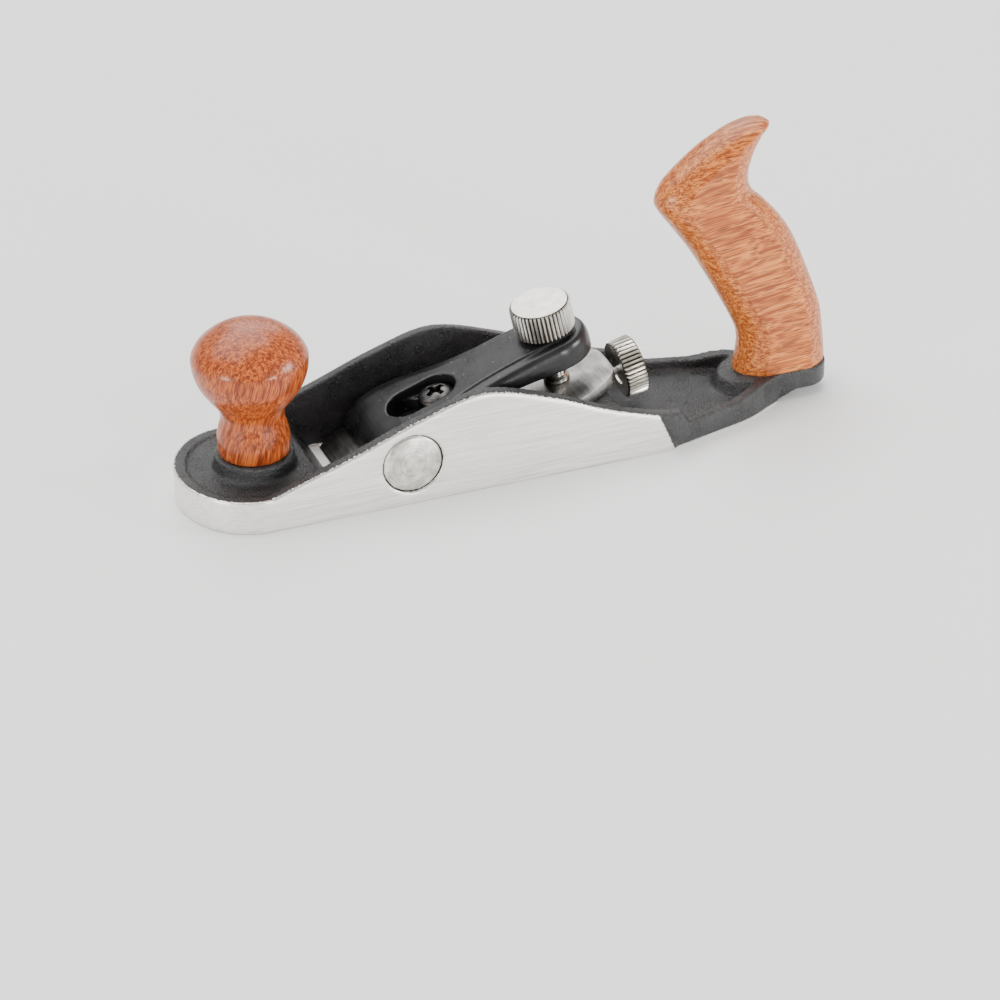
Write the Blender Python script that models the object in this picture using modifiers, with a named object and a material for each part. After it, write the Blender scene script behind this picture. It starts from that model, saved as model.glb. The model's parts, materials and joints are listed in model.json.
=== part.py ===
"""Miniature bevel-up bench plane with a turned front knob and a rear tote.

Metres, +Z up, toe towards -X, heel towards +X, sole on Z = 0, centred on the origin.
The blade, its adjuster and the lever cap are laid out in the frame of the blade's bed, which
leaves the sole at the mouth and climbs towards the heel: X runs up the bed, Z stands on it.
"""

import math

import bmesh
import bpy
from mathutils import Matrix

MM = 0.001

# Casting
BODY_LENGTH = 90.0 * MM
BODY_WIDTH = 20.5 * MM
CHEEK_WALL = 1.85 * MM
TOE_ROUND = 8.9 * MM
RIM_HEIGHT = 4.6 * MM
DECK_HEIGHT = 4.2 * MM
DECK_END = -27.9 * MM
MOUTH_FRONT = -24.6 * MM
TRAY_FLOOR = 1.8 * MM
TAIL_RIM = 3.3 * MM
TAIL_START = 19.2 * MM
TAIL_STEP = 0.35 * MM
HEEL_BOSS_HEIGHT = 4.2 * MM
HEEL_BOSS_HALF = 3.75 * MM
HEEL_UNDERCUT = 1.3 * MM
HEEL_CONE_X = 34.0 * MM
HEEL_CONE_FOOT = 5.5 * MM
HEEL_CONE_TOP = 2.0 * MM

# Bed frame
BED_ANGLE = math.radians(12.0)
BED_ORIGIN = -23.62 * MM
BED_END = 11.9 * MM
BED_GAP = 0.1 * MM

# Blade
BLADE_THICKNESS = 1.5 * MM
BLADE_HALF = 7.9 * MM
BLADE_EDGE = 0.1 * MM
BLADE_END = 38.4 * MM
BLADE_BEVEL = math.radians(30.0)
BLADE_TOP = BED_GAP + BLADE_THICKNESS
BLADE_SLOT_HALF = 1.6 * MM
BLADE_KEYHOLE_RADIUS = 2.9 * MM
BLADE_RELEASE = 20.5 * MM

# Guide plugs in the cheeks
PLUG_X = -17.0 * MM
PLUG_Z = 5.74 * MM
PLUG_RADIUS = 3.95 * MM
PLUG_INNER = 9.0 * MM

# Lever cap, its hold-down screw and its clamping screw, in the bed frame
CAP_NOSE = 3.9 * MM
CAP_TAIL_LENGTH = 5.4 * MM
CAP_TAIL_HALF = 5.1 * MM
CAP_UNDERSIDE = 5.6 * MM
CAP_PAD = 9.2 * MM
SCREW_S = 15.15 * MM
SCREW_HEAD_RADIUS = 2.5 * MM
SCREW_SHANK_RADIUS = 1.2 * MM
SCREW_SEAT = 5.35 * MM
SCREW_TOP = 6.95 * MM
SCREW_TIP = -2.5 * MM
KEYHOLE_TRAVEL = 4.0 * MM
CLAMP_S = 31.25 * MM
CLAMP_RADIUS = 4.0 * MM
CLAMP_LOW = 9.38 * MM
CLAMP_HIGH = 13.38 * MM
CLAMP_SHANK_RADIUS = 1.25 * MM

# Adjuster, in the bed frame
ROD_HEIGHT = -0.7 * MM
ROD_RADIUS = 0.55 * MM
ROD_START = 23.3 * MM
ROD_END = 42.2 * MM
POST_S = 32.9 * MM
POST_RADIUS = 1.5 * MM
CARRIER_S = 25.9 * MM
CARRIER_PIN_RADIUS = 0.9 * MM
CHANNEL_START = 22.3 * MM
CHANNEL_HALF = 2.5 * MM
CHANNEL_DEPTH = -2.4 * MM
WHEEL_S = 40.9 * MM
WHEEL_RADIUS = 3.95 * MM
WHEEL_THICKNESS = 3.0 * MM
COLLAR_LENGTH = 0.6 * MM
COLLAR_RADIUS = 0.75 * MM

# Front knob
KNOB_X = -34.7 * MM
KNOB_BOSS_RADIUS = 5.2 * MM
KNOB_BOSS_HEIGHT = 6.3 * MM
KNOB_BASE = 6.35 * MM
KNOB_HEIGHT = 17.8 * MM
INSERT_RADIUS = 1.9 * MM
INSERT_BORE = 1.25 * MM
INSERT_LENGTH = 6.2 * MM

# Tote
TOTE_BASE = 4.25 * MM
TOTE_SCREW_X = 40.8 * MM
TOTE_PIN_X = 34.6 * MM
TOTE_PIN_RADIUS = 0.9 * MM

# Countersunk screws from below: head face, head radius, shank radius, tip
KNOB_SCREW = (0.15 * MM, 2.35 * MM, 1.2 * MM, 11.4 * MM)
TOTE_SCREW = (HEEL_UNDERCUT + 0.1 * MM, 1.95 * MM, 1.0 * MM, 10.4 * MM)

# Fits between neighbours
CLEARANCE = 0.05 * MM
WELD = 0.00001 * MM
ROUND = 32
SMALL_ROUND = 20

TOE = -BODY_LENGTH / 2
HEEL = BODY_LENGTH / 2
HALF_WIDTH = BODY_WIDTH / 2
INNER_HALF = HALF_WIDTH - CHEEK_WALL
TALL = 30.0 * MM


# ---------------------------------------------------------------- scene, outlines, solids

def clear_scene():
    for item in list(bpy.data.objects):
        bpy.data.objects.remove(item, do_unlink=True)


def new_collection(name):
    collection = bpy.data.collections.new(name)
    bpy.context.scene.collection.children.link(collection)
    return collection


def new_material(name, colour, roughness, metallic):
    material = bpy.data.materials.new(name)
    material.use_nodes = True
    shader = material.node_tree.nodes["Principled BSDF"]
    shader.inputs["Base Color"].default_value = (*colour, 1.0)
    shader.inputs["Roughness"].default_value = roughness
    shader.inputs["Metallic"].default_value = metallic
    return material


def in_mm(points):
    return [tuple(value * MM for value in point) for point in points]


def arc(centre, radii, start, end, steps):
    """Points of an elliptical arc, angles in degrees."""
    angles = [math.radians(start + (end - start) * step / steps) for step in range(steps + 1)]
    return [(centre[0] + radii[0] * math.cos(a), centre[1] + radii[1] * math.sin(a)) for a in angles]


def smooth(points, steps):
    """A Catmull-Rom curve through the points, with the given steps from each to the next."""
    padded = [points[0], *points, points[-1]]
    curve = []
    for before, here, there, after in zip(padded, padded[1:], padded[2:], padded[3:]):
        for step in range(steps):
            t = step / steps
            curve.append(tuple(
                0.5 * (2 * b + (c - a) * t + (2 * a - 5 * b + 4 * c - d) * t**2
                       + (3 * b - a - 3 * c + d) * t**3)
                for a, b, c, d in zip(before, here, there, after)))
    curve.append(points[-1])
    return curve


def mirrored(half):
    """Closes the half outline on +Y with its mirror image."""
    return half + [(x, -y) for x, y in reversed(half) if y > WELD]


def slot(start, end, radius, steps=8):
    """A slot along X between two centres, with round ends."""
    radii = (radius, radius)
    return arc((end, 0), radii, -90, 90, steps) + arc((start, 0), radii, 90, 270, steps)


def place(name, bm, collection, parent=None, location=(0, 0, 0), rotation=(0, 0, 0)):
    bmesh.ops.recalc_face_normals(bm, faces=bm.faces)
    mesh = bpy.data.meshes.new(name)
    bm.to_mesh(mesh)
    bm.free()
    mesh.shade_smooth()
    mesh.set_sharp_from_angle(angle=math.radians(35))
    item = bpy.data.objects.new(name, mesh)
    item.location = location
    item.rotation_euler = rotation
    item.parent = parent
    collection.objects.link(item)
    if collection is CUTTERS:
        item.hide_render = True
        item.display_type = "WIRE"
    return item


def plate(name, outline, low, high, collection, upright=False, **where):
    """A flat outline made solid: from low to high in Z, or in Y where the outline stands in XZ."""
    curve = bpy.data.curves.new(name, "CURVE")
    curve.dimensions = "2D"
    curve.fill_mode = "BOTH"
    curve.extrude = (high - low) / 2
    spline = curve.splines.new("POLY")
    spline.points.add(len(outline) - 1)
    for point, (x, y) in zip(spline.points, outline):
        point.co = (x, y, 0, 1)
    spline.use_cyclic_u = True
    flat = bpy.data.objects.new(name + "_outline", curve)
    bpy.context.scene.collection.objects.link(flat)
    evaluated = flat.evaluated_get(bpy.context.evaluated_depsgraph_get())
    bm = bmesh.new()
    bm.from_mesh(bpy.data.meshes.new_from_object(evaluated))
    bpy.data.objects.remove(flat, do_unlink=True)
    bmesh.ops.remove_doubles(bm, verts=bm.verts, dist=WELD)
    middle = (low + high) / 2
    turn = Matrix.Rotation(math.pi / 2, 4, "X") if upright else Matrix.Identity(4)
    shift = Matrix.Translation((0, middle, 0) if upright else (0, 0, middle))
    bmesh.ops.transform(bm, matrix=shift @ turn, verts=bm.verts)
    return place(name, bm, collection, **where)


def rod(name, radius, low, high, collection, segments=SMALL_ROUND, top_radius=None, **where):
    """A round bar or cone standing on Z, from low to high."""
    bm = bmesh.new()
    bmesh.ops.create_cone(
        bm, cap_ends=True, segments=segments, radius1=radius,
        radius2=radius if top_radius is None else top_radius, depth=high - low,
        matrix=Matrix.Translation((0, 0, (low + high) / 2)))
    return place(name, bm, collection, **where)


def box(name, low, high, collection, **where):
    bm = bmesh.new()
    bmesh.ops.create_cube(bm, size=1.0)
    size = [b - a for a, b in zip(low, high)]
    centre = [(a + b) / 2 for a, b in zip(low, high)]
    matrix = Matrix.Translation(centre) @ Matrix.Diagonal((*size, 1.0))
    bmesh.ops.transform(bm, matrix=matrix, verts=bm.verts)
    return place(name, bm, collection, **where)


def turned(name, profile, collection, segments=ROUND, **where):
    """A profile of (radius, height) points, outer side top to bottom, swept round Z."""
    bm = bmesh.new()
    points = [bm.verts.new((radius, 0, height)) for radius, height in profile]
    for first, second in zip(points, points[1:]):
        bm.edges.new((first, second))
    item = place(name, bm, collection, **where)
    screw = item.modifiers.new("turn", "SCREW")
    screw.axis = "Z"
    screw.angle = math.tau
    screw.steps = segments
    screw.render_steps = segments
    screw.use_merge_vertices = True
    screw.merge_threshold = WELD
    screw.use_smooth_shade = True
    return item


def sleeve(name, outer, inner, low, high, collection, **where):
    """A plain bush: a ring of one bore, standing on Z."""
    ring = [(inner, high), (outer, high), (outer, low), (inner, low), (inner, high)]
    return turned(name, ring, collection, SMALL_ROUND, **where)


def knurled(name, radius, teeth, depth, chamfer, length, collection, **where):
    """A straight-knurled head standing on Z, with both rims chamfered."""
    bm = bmesh.new()
    levels = [(0, chamfer), (chamfer, 0), (length - chamfer, 0), (length, chamfer)]
    rings = []
    for height, inset in levels:
        ring = []
        for step in range(2 * teeth):
            angle = math.pi * step / teeth
            reach = radius - inset - depth * (step % 2)
            ring.append(bm.verts.new((reach * math.cos(angle), reach * math.sin(angle), height)))
        rings.append(ring)
    skin(bm, rings)
    return place(name, bm, collection, **where)


def skin(bm, rings):
    """Faces between rings of equal count, and a cap on the first and the last."""
    for lower, upper in zip(rings, rings[1:]):
        for index, corner in enumerate(lower):
            following = (index + 1) % len(lower)
            bm.faces.new((corner, lower[following], upper[following], upper[index]))
    bm.faces.new(list(reversed(rings[0])))
    bm.faces.new(rings[-1])


def combine(item, other, operation):
    modifier = item.modifiers.new(other.name, "BOOLEAN")
    modifier.operation = operation
    modifier.solver = "EXACT"
    modifier.object = other


def cut(item, *others):
    for other in others:
        combine(item, other, "DIFFERENCE")


def join(item, *others):
    for other in others:
        combine(item, other, "UNION")


def frame_empty(name, location, parent=None, rotation=(0, 0, 0)):
    empty = bpy.data.objects.new(name, None)
    empty.location = location
    empty.rotation_euler = rotation
    empty.parent = parent
    empty.empty_display_size = 3 * MM
    CUTTERS.objects.link(empty)
    return empty


def finish(item, material):
    item.data.materials.append(material)


# ---------------------------------------------------------------- casting

def plan_outline():
    toe = arc((TOE + TOE_ROUND, 0), (TOE_ROUND, HALF_WIDTH), 180, 90, 12)
    tail = in_mm([(24.9, 8.5), (31.1, 6.8), (35.1, 4.7), (37.0, 3.75)])
    tail = smooth([(TAIL_START, HALF_WIDTH - TAIL_STEP), *tail], 3)
    centre = HEEL - HEEL_BOSS_HALF
    heel = arc((centre, 0), (HEEL_BOSS_HALF, HEEL_BOSS_HALF), 90, 0, 6)
    return mirrored([*toe, (TAIL_START, HALF_WIDTH), *tail, *heel])


def side_outline():
    crest = smooth([(TOE + TOE_ROUND, RIM_HEIGHT)] + in_mm([
        (-31.7, 6.2), (-24.1, 8.7), (-15.3, 12.0), (-7.1, 13.9), (2.1, 11.3), (9.4, 8.1),
        (16.7, 5.7), (20.4, 4.9)]), 4)
    past_heel = HEEL + 1 * MM
    tail = [(21.3 * MM, TAIL_RIM), (29.0 * MM, TAIL_RIM), (33.0 * MM, HEEL_BOSS_HEIGHT),
            (past_heel, HEEL_BOSS_HEIGHT), (past_heel, HEEL_UNDERCUT), (39.4 * MM, HEEL_UNDERCUT),
            (36.2 * MM, 0)]
    past_toe = TOE - 1 * MM
    return [(past_toe, 0), (past_toe, RIM_HEIGHT), *crest, *tail]


def build_well():
    """Everything open between the walls: toe recess, ramp, mouth, the room over the bed, tray."""
    rim = (TOE_ROUND - CHEEK_WALL, INNER_HALF)
    tail = smooth(in_mm([(18.6, 8.4), (24.6, 7.1), (30.4, 5.3), (34.2, 3.4)]), 3)
    plan = mirrored([*arc((TOE + TOE_ROUND, 0), rim, 180, 90, 10), *tail])
    below = -1 * MM
    bed_top = (BED_END - BED_ORIGIN) * math.tan(BED_ANGLE)
    floor = [(TOE, DECK_HEIGHT), (DECK_END, DECK_HEIGHT), (MOUTH_FRONT, 0), (MOUTH_FRONT, below),
             (BED_ORIGIN, below), (BED_ORIGIN, 0), (BED_END, bed_top), (BED_END, TRAY_FLOOR),
             (HEEL, TRAY_FLOOR), (HEEL, TALL), (TOE, TALL)]
    well = plate("well", plan, 2 * below, TALL + MM, CUTTERS)
    combine(well, plate("well_floor", floor, -TALL, TALL, CUTTERS, upright=True), "INTERSECT")
    cut(well, rod("heel_cone", HEEL_CONE_FOOT, MM, 7 * MM, CUTTERS, ROUND, HEEL_CONE_TOP,
                  location=(HEEL_CONE_X, 0, 0)))
    return well


def build_body(bed):
    body = plate("plane_body", plan_outline(), -2 * MM, TALL, PARTS)
    profile = plate("side_profile", side_outline(), -TALL, TALL, CUTTERS, upright=True)
    combine(body, profile, "INTERSECT")
    cut(body, build_well())
    join(body, rod("knob_boss", KNOB_BOSS_RADIUS, MM, KNOB_BOSS_HEIGHT, CUTTERS, ROUND,
                   location=(KNOB_X, 0, 0)))

    across = (math.pi / 2, 0, 0)
    plug_hole = PLUG_RADIUS + CLEARANCE
    plug_floor = PLUG_INNER - CLEARANCE
    post_hole = POST_RADIUS + 2 * CLEARANCE
    tapped = SCREW_SHANK_RADIUS + CLEARANCE
    channel_end = BED_END - BED_ORIGIN + 3 * MM
    cut(body,
        rod("plug_hole_left", plug_hole, plug_floor, HALF_WIDTH + MM, CUTTERS, ROUND,
            location=(PLUG_X, 0, PLUG_Z), rotation=across),
        rod("plug_hole_right", plug_hole, -HALF_WIDTH - MM, -plug_floor, CUTTERS, ROUND,
            location=(PLUG_X, 0, PLUG_Z), rotation=across),
        rod("hold_down_hole", tapped, SCREW_TIP - 0.1 * MM, MM, CUTTERS, parent=bed,
            location=(SCREW_S, 0, 0)),
        box("adjuster_channel", (CHANNEL_START, -CHANNEL_HALF, CHANNEL_DEPTH),
            (channel_end, CHANNEL_HALF, 2 * MM), CUTTERS, parent=bed),
        rod("post_hole", post_hole, -4.3 * MM, MM, CUTTERS, parent=bed, location=(POST_S, 0, 0)),
        *screw_seat("knob_screw_seat", KNOB_X, KNOB_SCREW),
        *screw_seat("tote_screw_seat", TOTE_SCREW_X, TOTE_SCREW),
        rod("tote_pin_hole", TOTE_PIN_RADIUS + CLEARANCE, 1.9 * MM, 8 * MM, CUTTERS,
            location=(TOTE_PIN_X, 0, 0)))
    finish(body, BLACK_PAINT)


def screw_seat(name, x, screw):
    """A clearance hole and its countersink, with room all round the screw."""
    low, head_radius, shank_radius, tip = screw
    play = 0.1 * MM
    below = low + MM
    hole = shank_radius + play
    return (
        rod(name + "_hole", hole, -MM, tip, CUTTERS, location=(x, 0, 0)),
        rod(name, head_radius + 2 * play + below, low - below, low + head_radius + 2 * play - hole,
            CUTTERS, top_radius=hole, location=(x, 0, 0)))


def build_guide_plugs():
    for name, turn in (("guide_plug_left", math.pi / 2), ("guide_plug_right", -math.pi / 2)):
        face = HALF_WIDTH - CLEARANCE
        chamfer = 0.25 * MM
        profile = [(0, face), (PLUG_RADIUS - chamfer, face), (PLUG_RADIUS, face - chamfer),
                   (PLUG_RADIUS, PLUG_INNER), (0, PLUG_INNER)]
        plug = turned(name, profile, PARTS, location=(PLUG_X, 0, PLUG_Z), rotation=(turn, 0, 0))
        finish(plug, BRIGHT_STEEL)


# ---------------------------------------------------------------- knob and tote

def build_knob():
    outline = smooth(in_mm([
        (2.0, 17.6), (4.2, 16.9), (6.2, 15.5), (7.3, 13.9), (7.45, 12.8), (7.0, 11.0),
        (5.25, 8.1), (4.0, 6.2), (4.0, 4.8), (4.55, 3.1), (4.7, 1.9), (4.6, 0.4), (4.3, 0)]), 2)
    knob = turned("front_knob", [(0, KNOB_HEIGHT), *outline, (0, 0)], PARTS,
                  location=(KNOB_X, 0, KNOB_BASE))
    bore = INSERT_RADIUS + CLEARANCE
    cut(knob, rod("knob_bore", bore, -MM, INSERT_LENGTH + 0.3 * MM, CUTTERS,
                  location=(KNOB_X, 0, KNOB_BASE)))
    finish(knob, WOOD)
    insert = sleeve("knob_insert", INSERT_RADIUS, INSERT_BORE, CLEARANCE, INSERT_LENGTH, PARTS,
                    location=(KNOB_X, 0, KNOB_BASE))
    finish(insert, BRASS)
    build_countersunk_screw("knob_screw", KNOB_X, KNOB_SCREW)


def build_countersunk_screw(name, x, screw_size):
    low, head_radius, shank_radius, tip = screw_size
    cone = head_radius - shank_radius
    profile = [(0, tip), (shank_radius - 0.2 * MM, tip), (shank_radius, tip - 0.2 * MM),
               (shank_radius, low + cone), (head_radius, low), (0, low)]
    screw = turned(name, profile, PARTS, SMALL_ROUND, location=(x, 0, 0))
    width = 0.25 * MM
    cut(screw, box(name + "_slot", (-3 * MM, -width, -MM), (3 * MM, width, low + 0.45 * MM), CUTTERS,
                   location=(x, 0, 0)))
    finish(screw, BRIGHT_STEEL)


def tote_ring(front, back, half):
    """One section of the tote: flat sides, round front and back, seen along its own slope."""
    x, z = (front[0] + back[0]) / 2, (front[1] + back[1]) / 2
    reach = math.dist(front, back) / 2
    along = ((back[0] - front[0]) / (2 * reach), (back[1] - front[1]) / (2 * reach))
    nose = min(reach, half)
    ring = []
    for step in range(16):
        angle = math.tau * (step + 0.5) / 16
        side = math.copysign(reach - nose, math.cos(angle)) + nose * math.cos(angle)
        ring.append((x + along[0] * side, half * math.sin(angle), z + along[1] * side))
    return ring


def build_tote():
    sections = smooth(in_mm([
        (31.9, 4.25, 44.9, 4.25, 3.6), (32.4, 9.0, 44.4, 9.2, 3.6), (30.6, 13.5, 43.6, 13.3, 3.6),
        (25.9, 21.9, 40.3, 21.7, 3.6), (23.0, 26.2, 38.1, 25.6, 3.6), (20.8, 29.1, 35.6, 28.6, 3.6),
        (20.2, 30.8, 33.6, 30.6, 3.6), (21.5, 33.2, 32.95, 32.8, 3.6), (25.6, 36.8, 33.4, 35.1, 3.5),
        (28.3, 38.4, 34.2, 37.0, 3.3), (30.5, 39.4, 34.9, 38.4, 2.9), (32.7, 40.05, 35.6, 39.1, 2.3),
        (34.6, 40.1, 35.9, 39.6, 1.4)]), 2)
    bm = bmesh.new()
    rings = []
    for front_x, front_z, back_x, back_z, half in sections:
        ring = tote_ring((front_x, front_z), (back_x, back_z), half)
        rings.append([bm.verts.new(point) for point in ring])
    skin(bm, rings)
    tote = place("tote", bm, PARTS)
    cut(tote,
        rod("tote_bore", INSERT_RADIUS + CLEARANCE, 3 * MM, 11.2 * MM, CUTTERS,
            location=(TOTE_SCREW_X, 0, 0)),
        rod("tote_pin_bore", TOTE_PIN_RADIUS + CLEARANCE, 3 * MM, 8.3 * MM, CUTTERS,
            location=(TOTE_PIN_X, 0, 0)))
    finish(tote, WOOD)
    insert = sleeve("tote_insert", INSERT_RADIUS, 1.1 * MM, TOTE_BASE + CLEARANCE, 11.0 * MM, PARTS,
                    location=(TOTE_SCREW_X, 0, 0))
    finish(insert, BRASS)
    build_countersunk_screw("tote_screw", TOTE_SCREW_X, TOTE_SCREW)
    pin = rod("tote_pin", TOTE_PIN_RADIUS, 2.0 * MM, 8.1 * MM, PARTS, location=(TOTE_PIN_X, 0, 0))
    finish(pin, BRIGHT_STEEL)


# ---------------------------------------------------------------- blade and lever cap

def build_blade(pivot):
    """The blade's origin is the pin of its carrier, so every length is measured from there."""
    sides = smooth([(24.4 * MM, BLADE_HALF)] + in_mm([
        (30.5, 7.1), (33.5, 6.2), (36.0, 5.1), (37.6, 3.8), (38.3, 2.4)]), 3)
    outline = mirrored([(BLADE_EDGE, BLADE_HALF), *sides, (BLADE_END, 0)])
    low = BED_GAP - ROD_HEIGHT
    high = BLADE_TOP - ROD_HEIGHT
    blade = plate("blade", [(s - CARRIER_S, y) for s, y in outline], low, high, PARTS, parent=pivot)

    edge = BLADE_EDGE - CARRIER_S
    rise = math.tan(BLADE_BEVEL)
    back, front = MM, 6 * MM
    thin = low + 0.03 * MM
    wedge = [(edge - back, thin - back * rise), (edge + front, thin + front * rise),
             (edge + front, thin + 2 * front), (edge - back, thin + 2 * front)]
    slot_start = SCREW_S - MM - CARRIER_S
    release = BLADE_RELEASE - CARRIER_S
    below, above = low - MM, high + MM
    cut(blade,
        plate("blade_bevel", wedge, -TALL, TALL, CUTTERS, upright=True, parent=pivot),
        plate("blade_slot", slot(slot_start, release, BLADE_SLOT_HALF), below, above, CUTTERS,
              parent=pivot),
        rod("blade_keyhole", BLADE_KEYHOLE_RADIUS, below, above, CUTTERS, parent=pivot,
            location=(release, 0, 0)),
        rod("blade_pin_hole", CARRIER_PIN_RADIUS + 0.1 * MM, below, above, CUTTERS, parent=pivot))
    finish(blade, TOOL_STEEL)


def build_lever_cap(bed):
    sides = smooth([(CAP_NOSE, 7.5 * MM)] + in_mm([
        (10.0, 7.6), (13.5, 7.0), (17.5, 5.9), (22.5, 5.25), (27.5, 5.1)]), 3)
    tail = arc((CLAMP_S, 0), (CAP_TAIL_LENGTH, CAP_TAIL_HALF), 90, 0, 8)
    cap = plate("lever_cap", mirrored([*sides, *tail]), 0, TALL, PARTS, parent=bed)
    lip = BLADE_TOP + 0.08 * MM
    nose = smooth(in_mm([(9.0, 6.36), (6.4, 5.55), (4.7, 4.0), (3.95, 2.5)]), 3)
    under = smooth(in_mm([(7.6, 2.6), (11.0, 3.3), (18.4, 3.5), (21.5, 4.9), (24.5, 5.5)]), 3)
    past = 40.0 * MM
    profile = plate("cap_profile", [
        *reversed(nose), (CLAMP_S - 0.5 * MM, CAP_PAD), (past, CAP_PAD), (past, CAP_UNDERSIDE),
        *reversed(under), (5.3 * MM, lip), (CAP_NOSE, lip)],
        -TALL, TALL, CUTTERS, upright=True, parent=bed)
    combine(cap, profile, "INTERSECT")
    release = SCREW_S - KEYHOLE_TRAVEL
    seat = SCREW_SEAT - CLEARANCE
    head = SCREW_HEAD_RADIUS + 0.25 * MM
    cut(cap,
        plate("cap_channel", slot(release, SCREW_S, head), seat, TALL, CUTTERS, parent=bed),
        rod("cap_release_hole", head, 0, TALL, CUTTERS, ROUND, parent=bed, location=(release, 0, 0)),
        plate("cap_slot", slot(release, SCREW_S, SCREW_SHANK_RADIUS + 0.25 * MM), 0, TALL, CUTTERS,
              parent=bed),
        rod("cap_thread", CLAMP_SHANK_RADIUS + CLEARANCE, 0, TALL, CUTTERS, parent=bed,
            location=(CLAMP_S, 0, 0)))
    finish(cap, BLACK_PAINT)


def build_hold_down_screw(bed):
    dome = in_mm([(1.5, 6.8), (2.2, 6.38)])
    profile = [(0, SCREW_TOP), *dome, (SCREW_HEAD_RADIUS, 5.8 * MM), (SCREW_HEAD_RADIUS, SCREW_SEAT),
               (SCREW_SHANK_RADIUS, SCREW_SEAT), (SCREW_SHANK_RADIUS, SCREW_TIP), (0, SCREW_TIP)]
    screw = turned("hold_down_screw", profile, PARTS, parent=bed, location=(SCREW_S, 0, 0))
    arm, width, floor = 1.45 * MM, 0.3 * MM, SCREW_TOP - 1.0 * MM
    for name, turn in (("recess_along", 0), ("recess_across", math.pi / 2)):
        cut(screw, box(name, (-arm, -width, floor), (arm, width, SCREW_TOP + MM), CUTTERS, parent=bed,
                       location=(SCREW_S, 0, 0), rotation=(0, 0, turn)))
    finish(screw, DARK_STEEL)


def build_clamp(bed):
    axis = frame_empty("clamp_axis", (CLAMP_S, 0, 0), bed)
    foot_top = 3.3 * MM
    tip_radius = 0.85 * MM
    head = knurled("clamp_knob", CLAMP_RADIUS, 44, 0.22 * MM, 0.3 * MM, CLAMP_HIGH - CLAMP_LOW, PARTS,
                   parent=axis, location=(0, 0, CLAMP_LOW))
    shank = [(0, CLAMP_LOW + MM), (CLAMP_SHANK_RADIUS, CLAMP_LOW + MM),
             (CLAMP_SHANK_RADIUS, foot_top + 0.2 * MM), (tip_radius, foot_top + 0.2 * MM),
             (tip_radius, foot_top - 0.7 * MM), (0, foot_top - 0.7 * MM)]
    join(head, turned("clamp_shank", shank, CUTTERS, SMALL_ROUND, parent=axis))
    finish(head, NICKEL)
    base = BLADE_TOP + 0.08 * MM
    cup = tip_radius + CLEARANCE
    profile = [(cup, foot_top), (1.35 * MM, foot_top), (1.75 * MM, base + 0.5 * MM), (1.75 * MM, base),
               (0, base), (0, foot_top - 0.8 * MM), (cup, foot_top - 0.8 * MM), (cup, foot_top)]
    foot = turned("clamp_foot", profile, PARTS, SMALL_ROUND, parent=axis)
    finish(foot, BRIGHT_STEEL)


# ---------------------------------------------------------------- blade adjuster

def build_adjuster(swing):
    """Post, screw rod, wheel and collars turn sideways together about the post's axis."""
    bore = ROD_RADIUS + CLEARANCE
    along = (0, math.pi / 2, 0)
    post = rod("adjuster_post", POST_RADIUS, -4.2 * MM - ROD_HEIGHT, -ROD_HEIGHT, PARTS, parent=swing)
    cut(post, rod("post_bore", bore, -5 * MM, 5 * MM, CUTTERS, parent=swing, rotation=along))
    finish(post, BRASS)

    screw_axis = frame_empty("screw_axis", (0, 0, 0), swing, along)
    screw = rod("adjuster_rod", ROD_RADIUS, ROD_START - POST_S, ROD_END - POST_S, PARTS,
                parent=screw_axis)
    finish(screw, BRIGHT_STEEL)
    wheel_low = WHEEL_S - WHEEL_THICKNESS / 2 - POST_S
    wheel = knurled("adjuster_wheel", WHEEL_RADIUS, 40, 0.22 * MM, 0.3 * MM, WHEEL_THICKNESS, PARTS,
                    parent=screw_axis, location=(0, 0, wheel_low))
    cut(wheel, rod("wheel_bore", bore, wheel_low - MM, wheel_low + 5 * MM, CUTTERS, parent=screw_axis))
    finish(wheel, NICKEL)
    reach = POST_RADIUS + 0.1 * MM
    for name, low in (("rod_collar_front", -reach - COLLAR_LENGTH), ("rod_collar_rear", reach)):
        collar = sleeve(name, COLLAR_RADIUS, bore, low, low + COLLAR_LENGTH, PARTS, parent=screw_axis)
        finish(collar, DARK_STEEL)


def build_carrier(pivot):
    low = -2.1 * MM - ROD_HEIGHT
    top = -ROD_HEIGHT
    carrier = box("blade_carrier", (-1.6 * MM, -1.7 * MM, low), (1.6 * MM, 1.7 * MM, top), PARTS,
                  parent=pivot)
    join(carrier, rod("carrier_pin", CARRIER_PIN_RADIUS, top - 0.05 * MM, BLADE_TOP - ROD_HEIGHT - 0.1 * MM,
                      CUTTERS, parent=pivot))
    cut(carrier, rod("carrier_bore", ROD_RADIUS + CLEARANCE, -5 * MM, 5 * MM, CUTTERS, parent=pivot,
                     rotation=(0, math.pi / 2, 0)))
    finish(carrier, BRASS)


clear_scene()
PARTS = new_collection("bevel_up_bench_plane")
CUTTERS = new_collection("cutters")

BLACK_PAINT = new_material("black_paint", (0.025, 0.025, 0.027), 0.45, 0.0)
BRIGHT_STEEL = new_material("bright_steel", (0.72, 0.70, 0.67), 0.3, 1.0)
TOOL_STEEL = new_material("tool_steel", (0.45, 0.44, 0.42), 0.35, 1.0)
DARK_STEEL = new_material("blackened_steel", (0.09, 0.09, 0.095), 0.35, 1.0)
NICKEL = new_material("nickel_plate", (0.62, 0.59, 0.53), 0.28, 1.0)
BRASS = new_material("brass", (0.72, 0.50, 0.18), 0.3, 1.0)
WOOD = new_material("oiled_hardwood", (0.48, 0.17, 0.06), 0.35, 0.0)

BED = frame_empty("bed_frame", (BED_ORIGIN, 0, 0), rotation=(0, -BED_ANGLE, 0))
SWING = frame_empty("swing_axis", (POST_S, 0, ROD_HEIGHT), BED)
PIVOT = frame_empty("carrier_axis", (CARRIER_S, 0, ROD_HEIGHT), BED)

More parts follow.
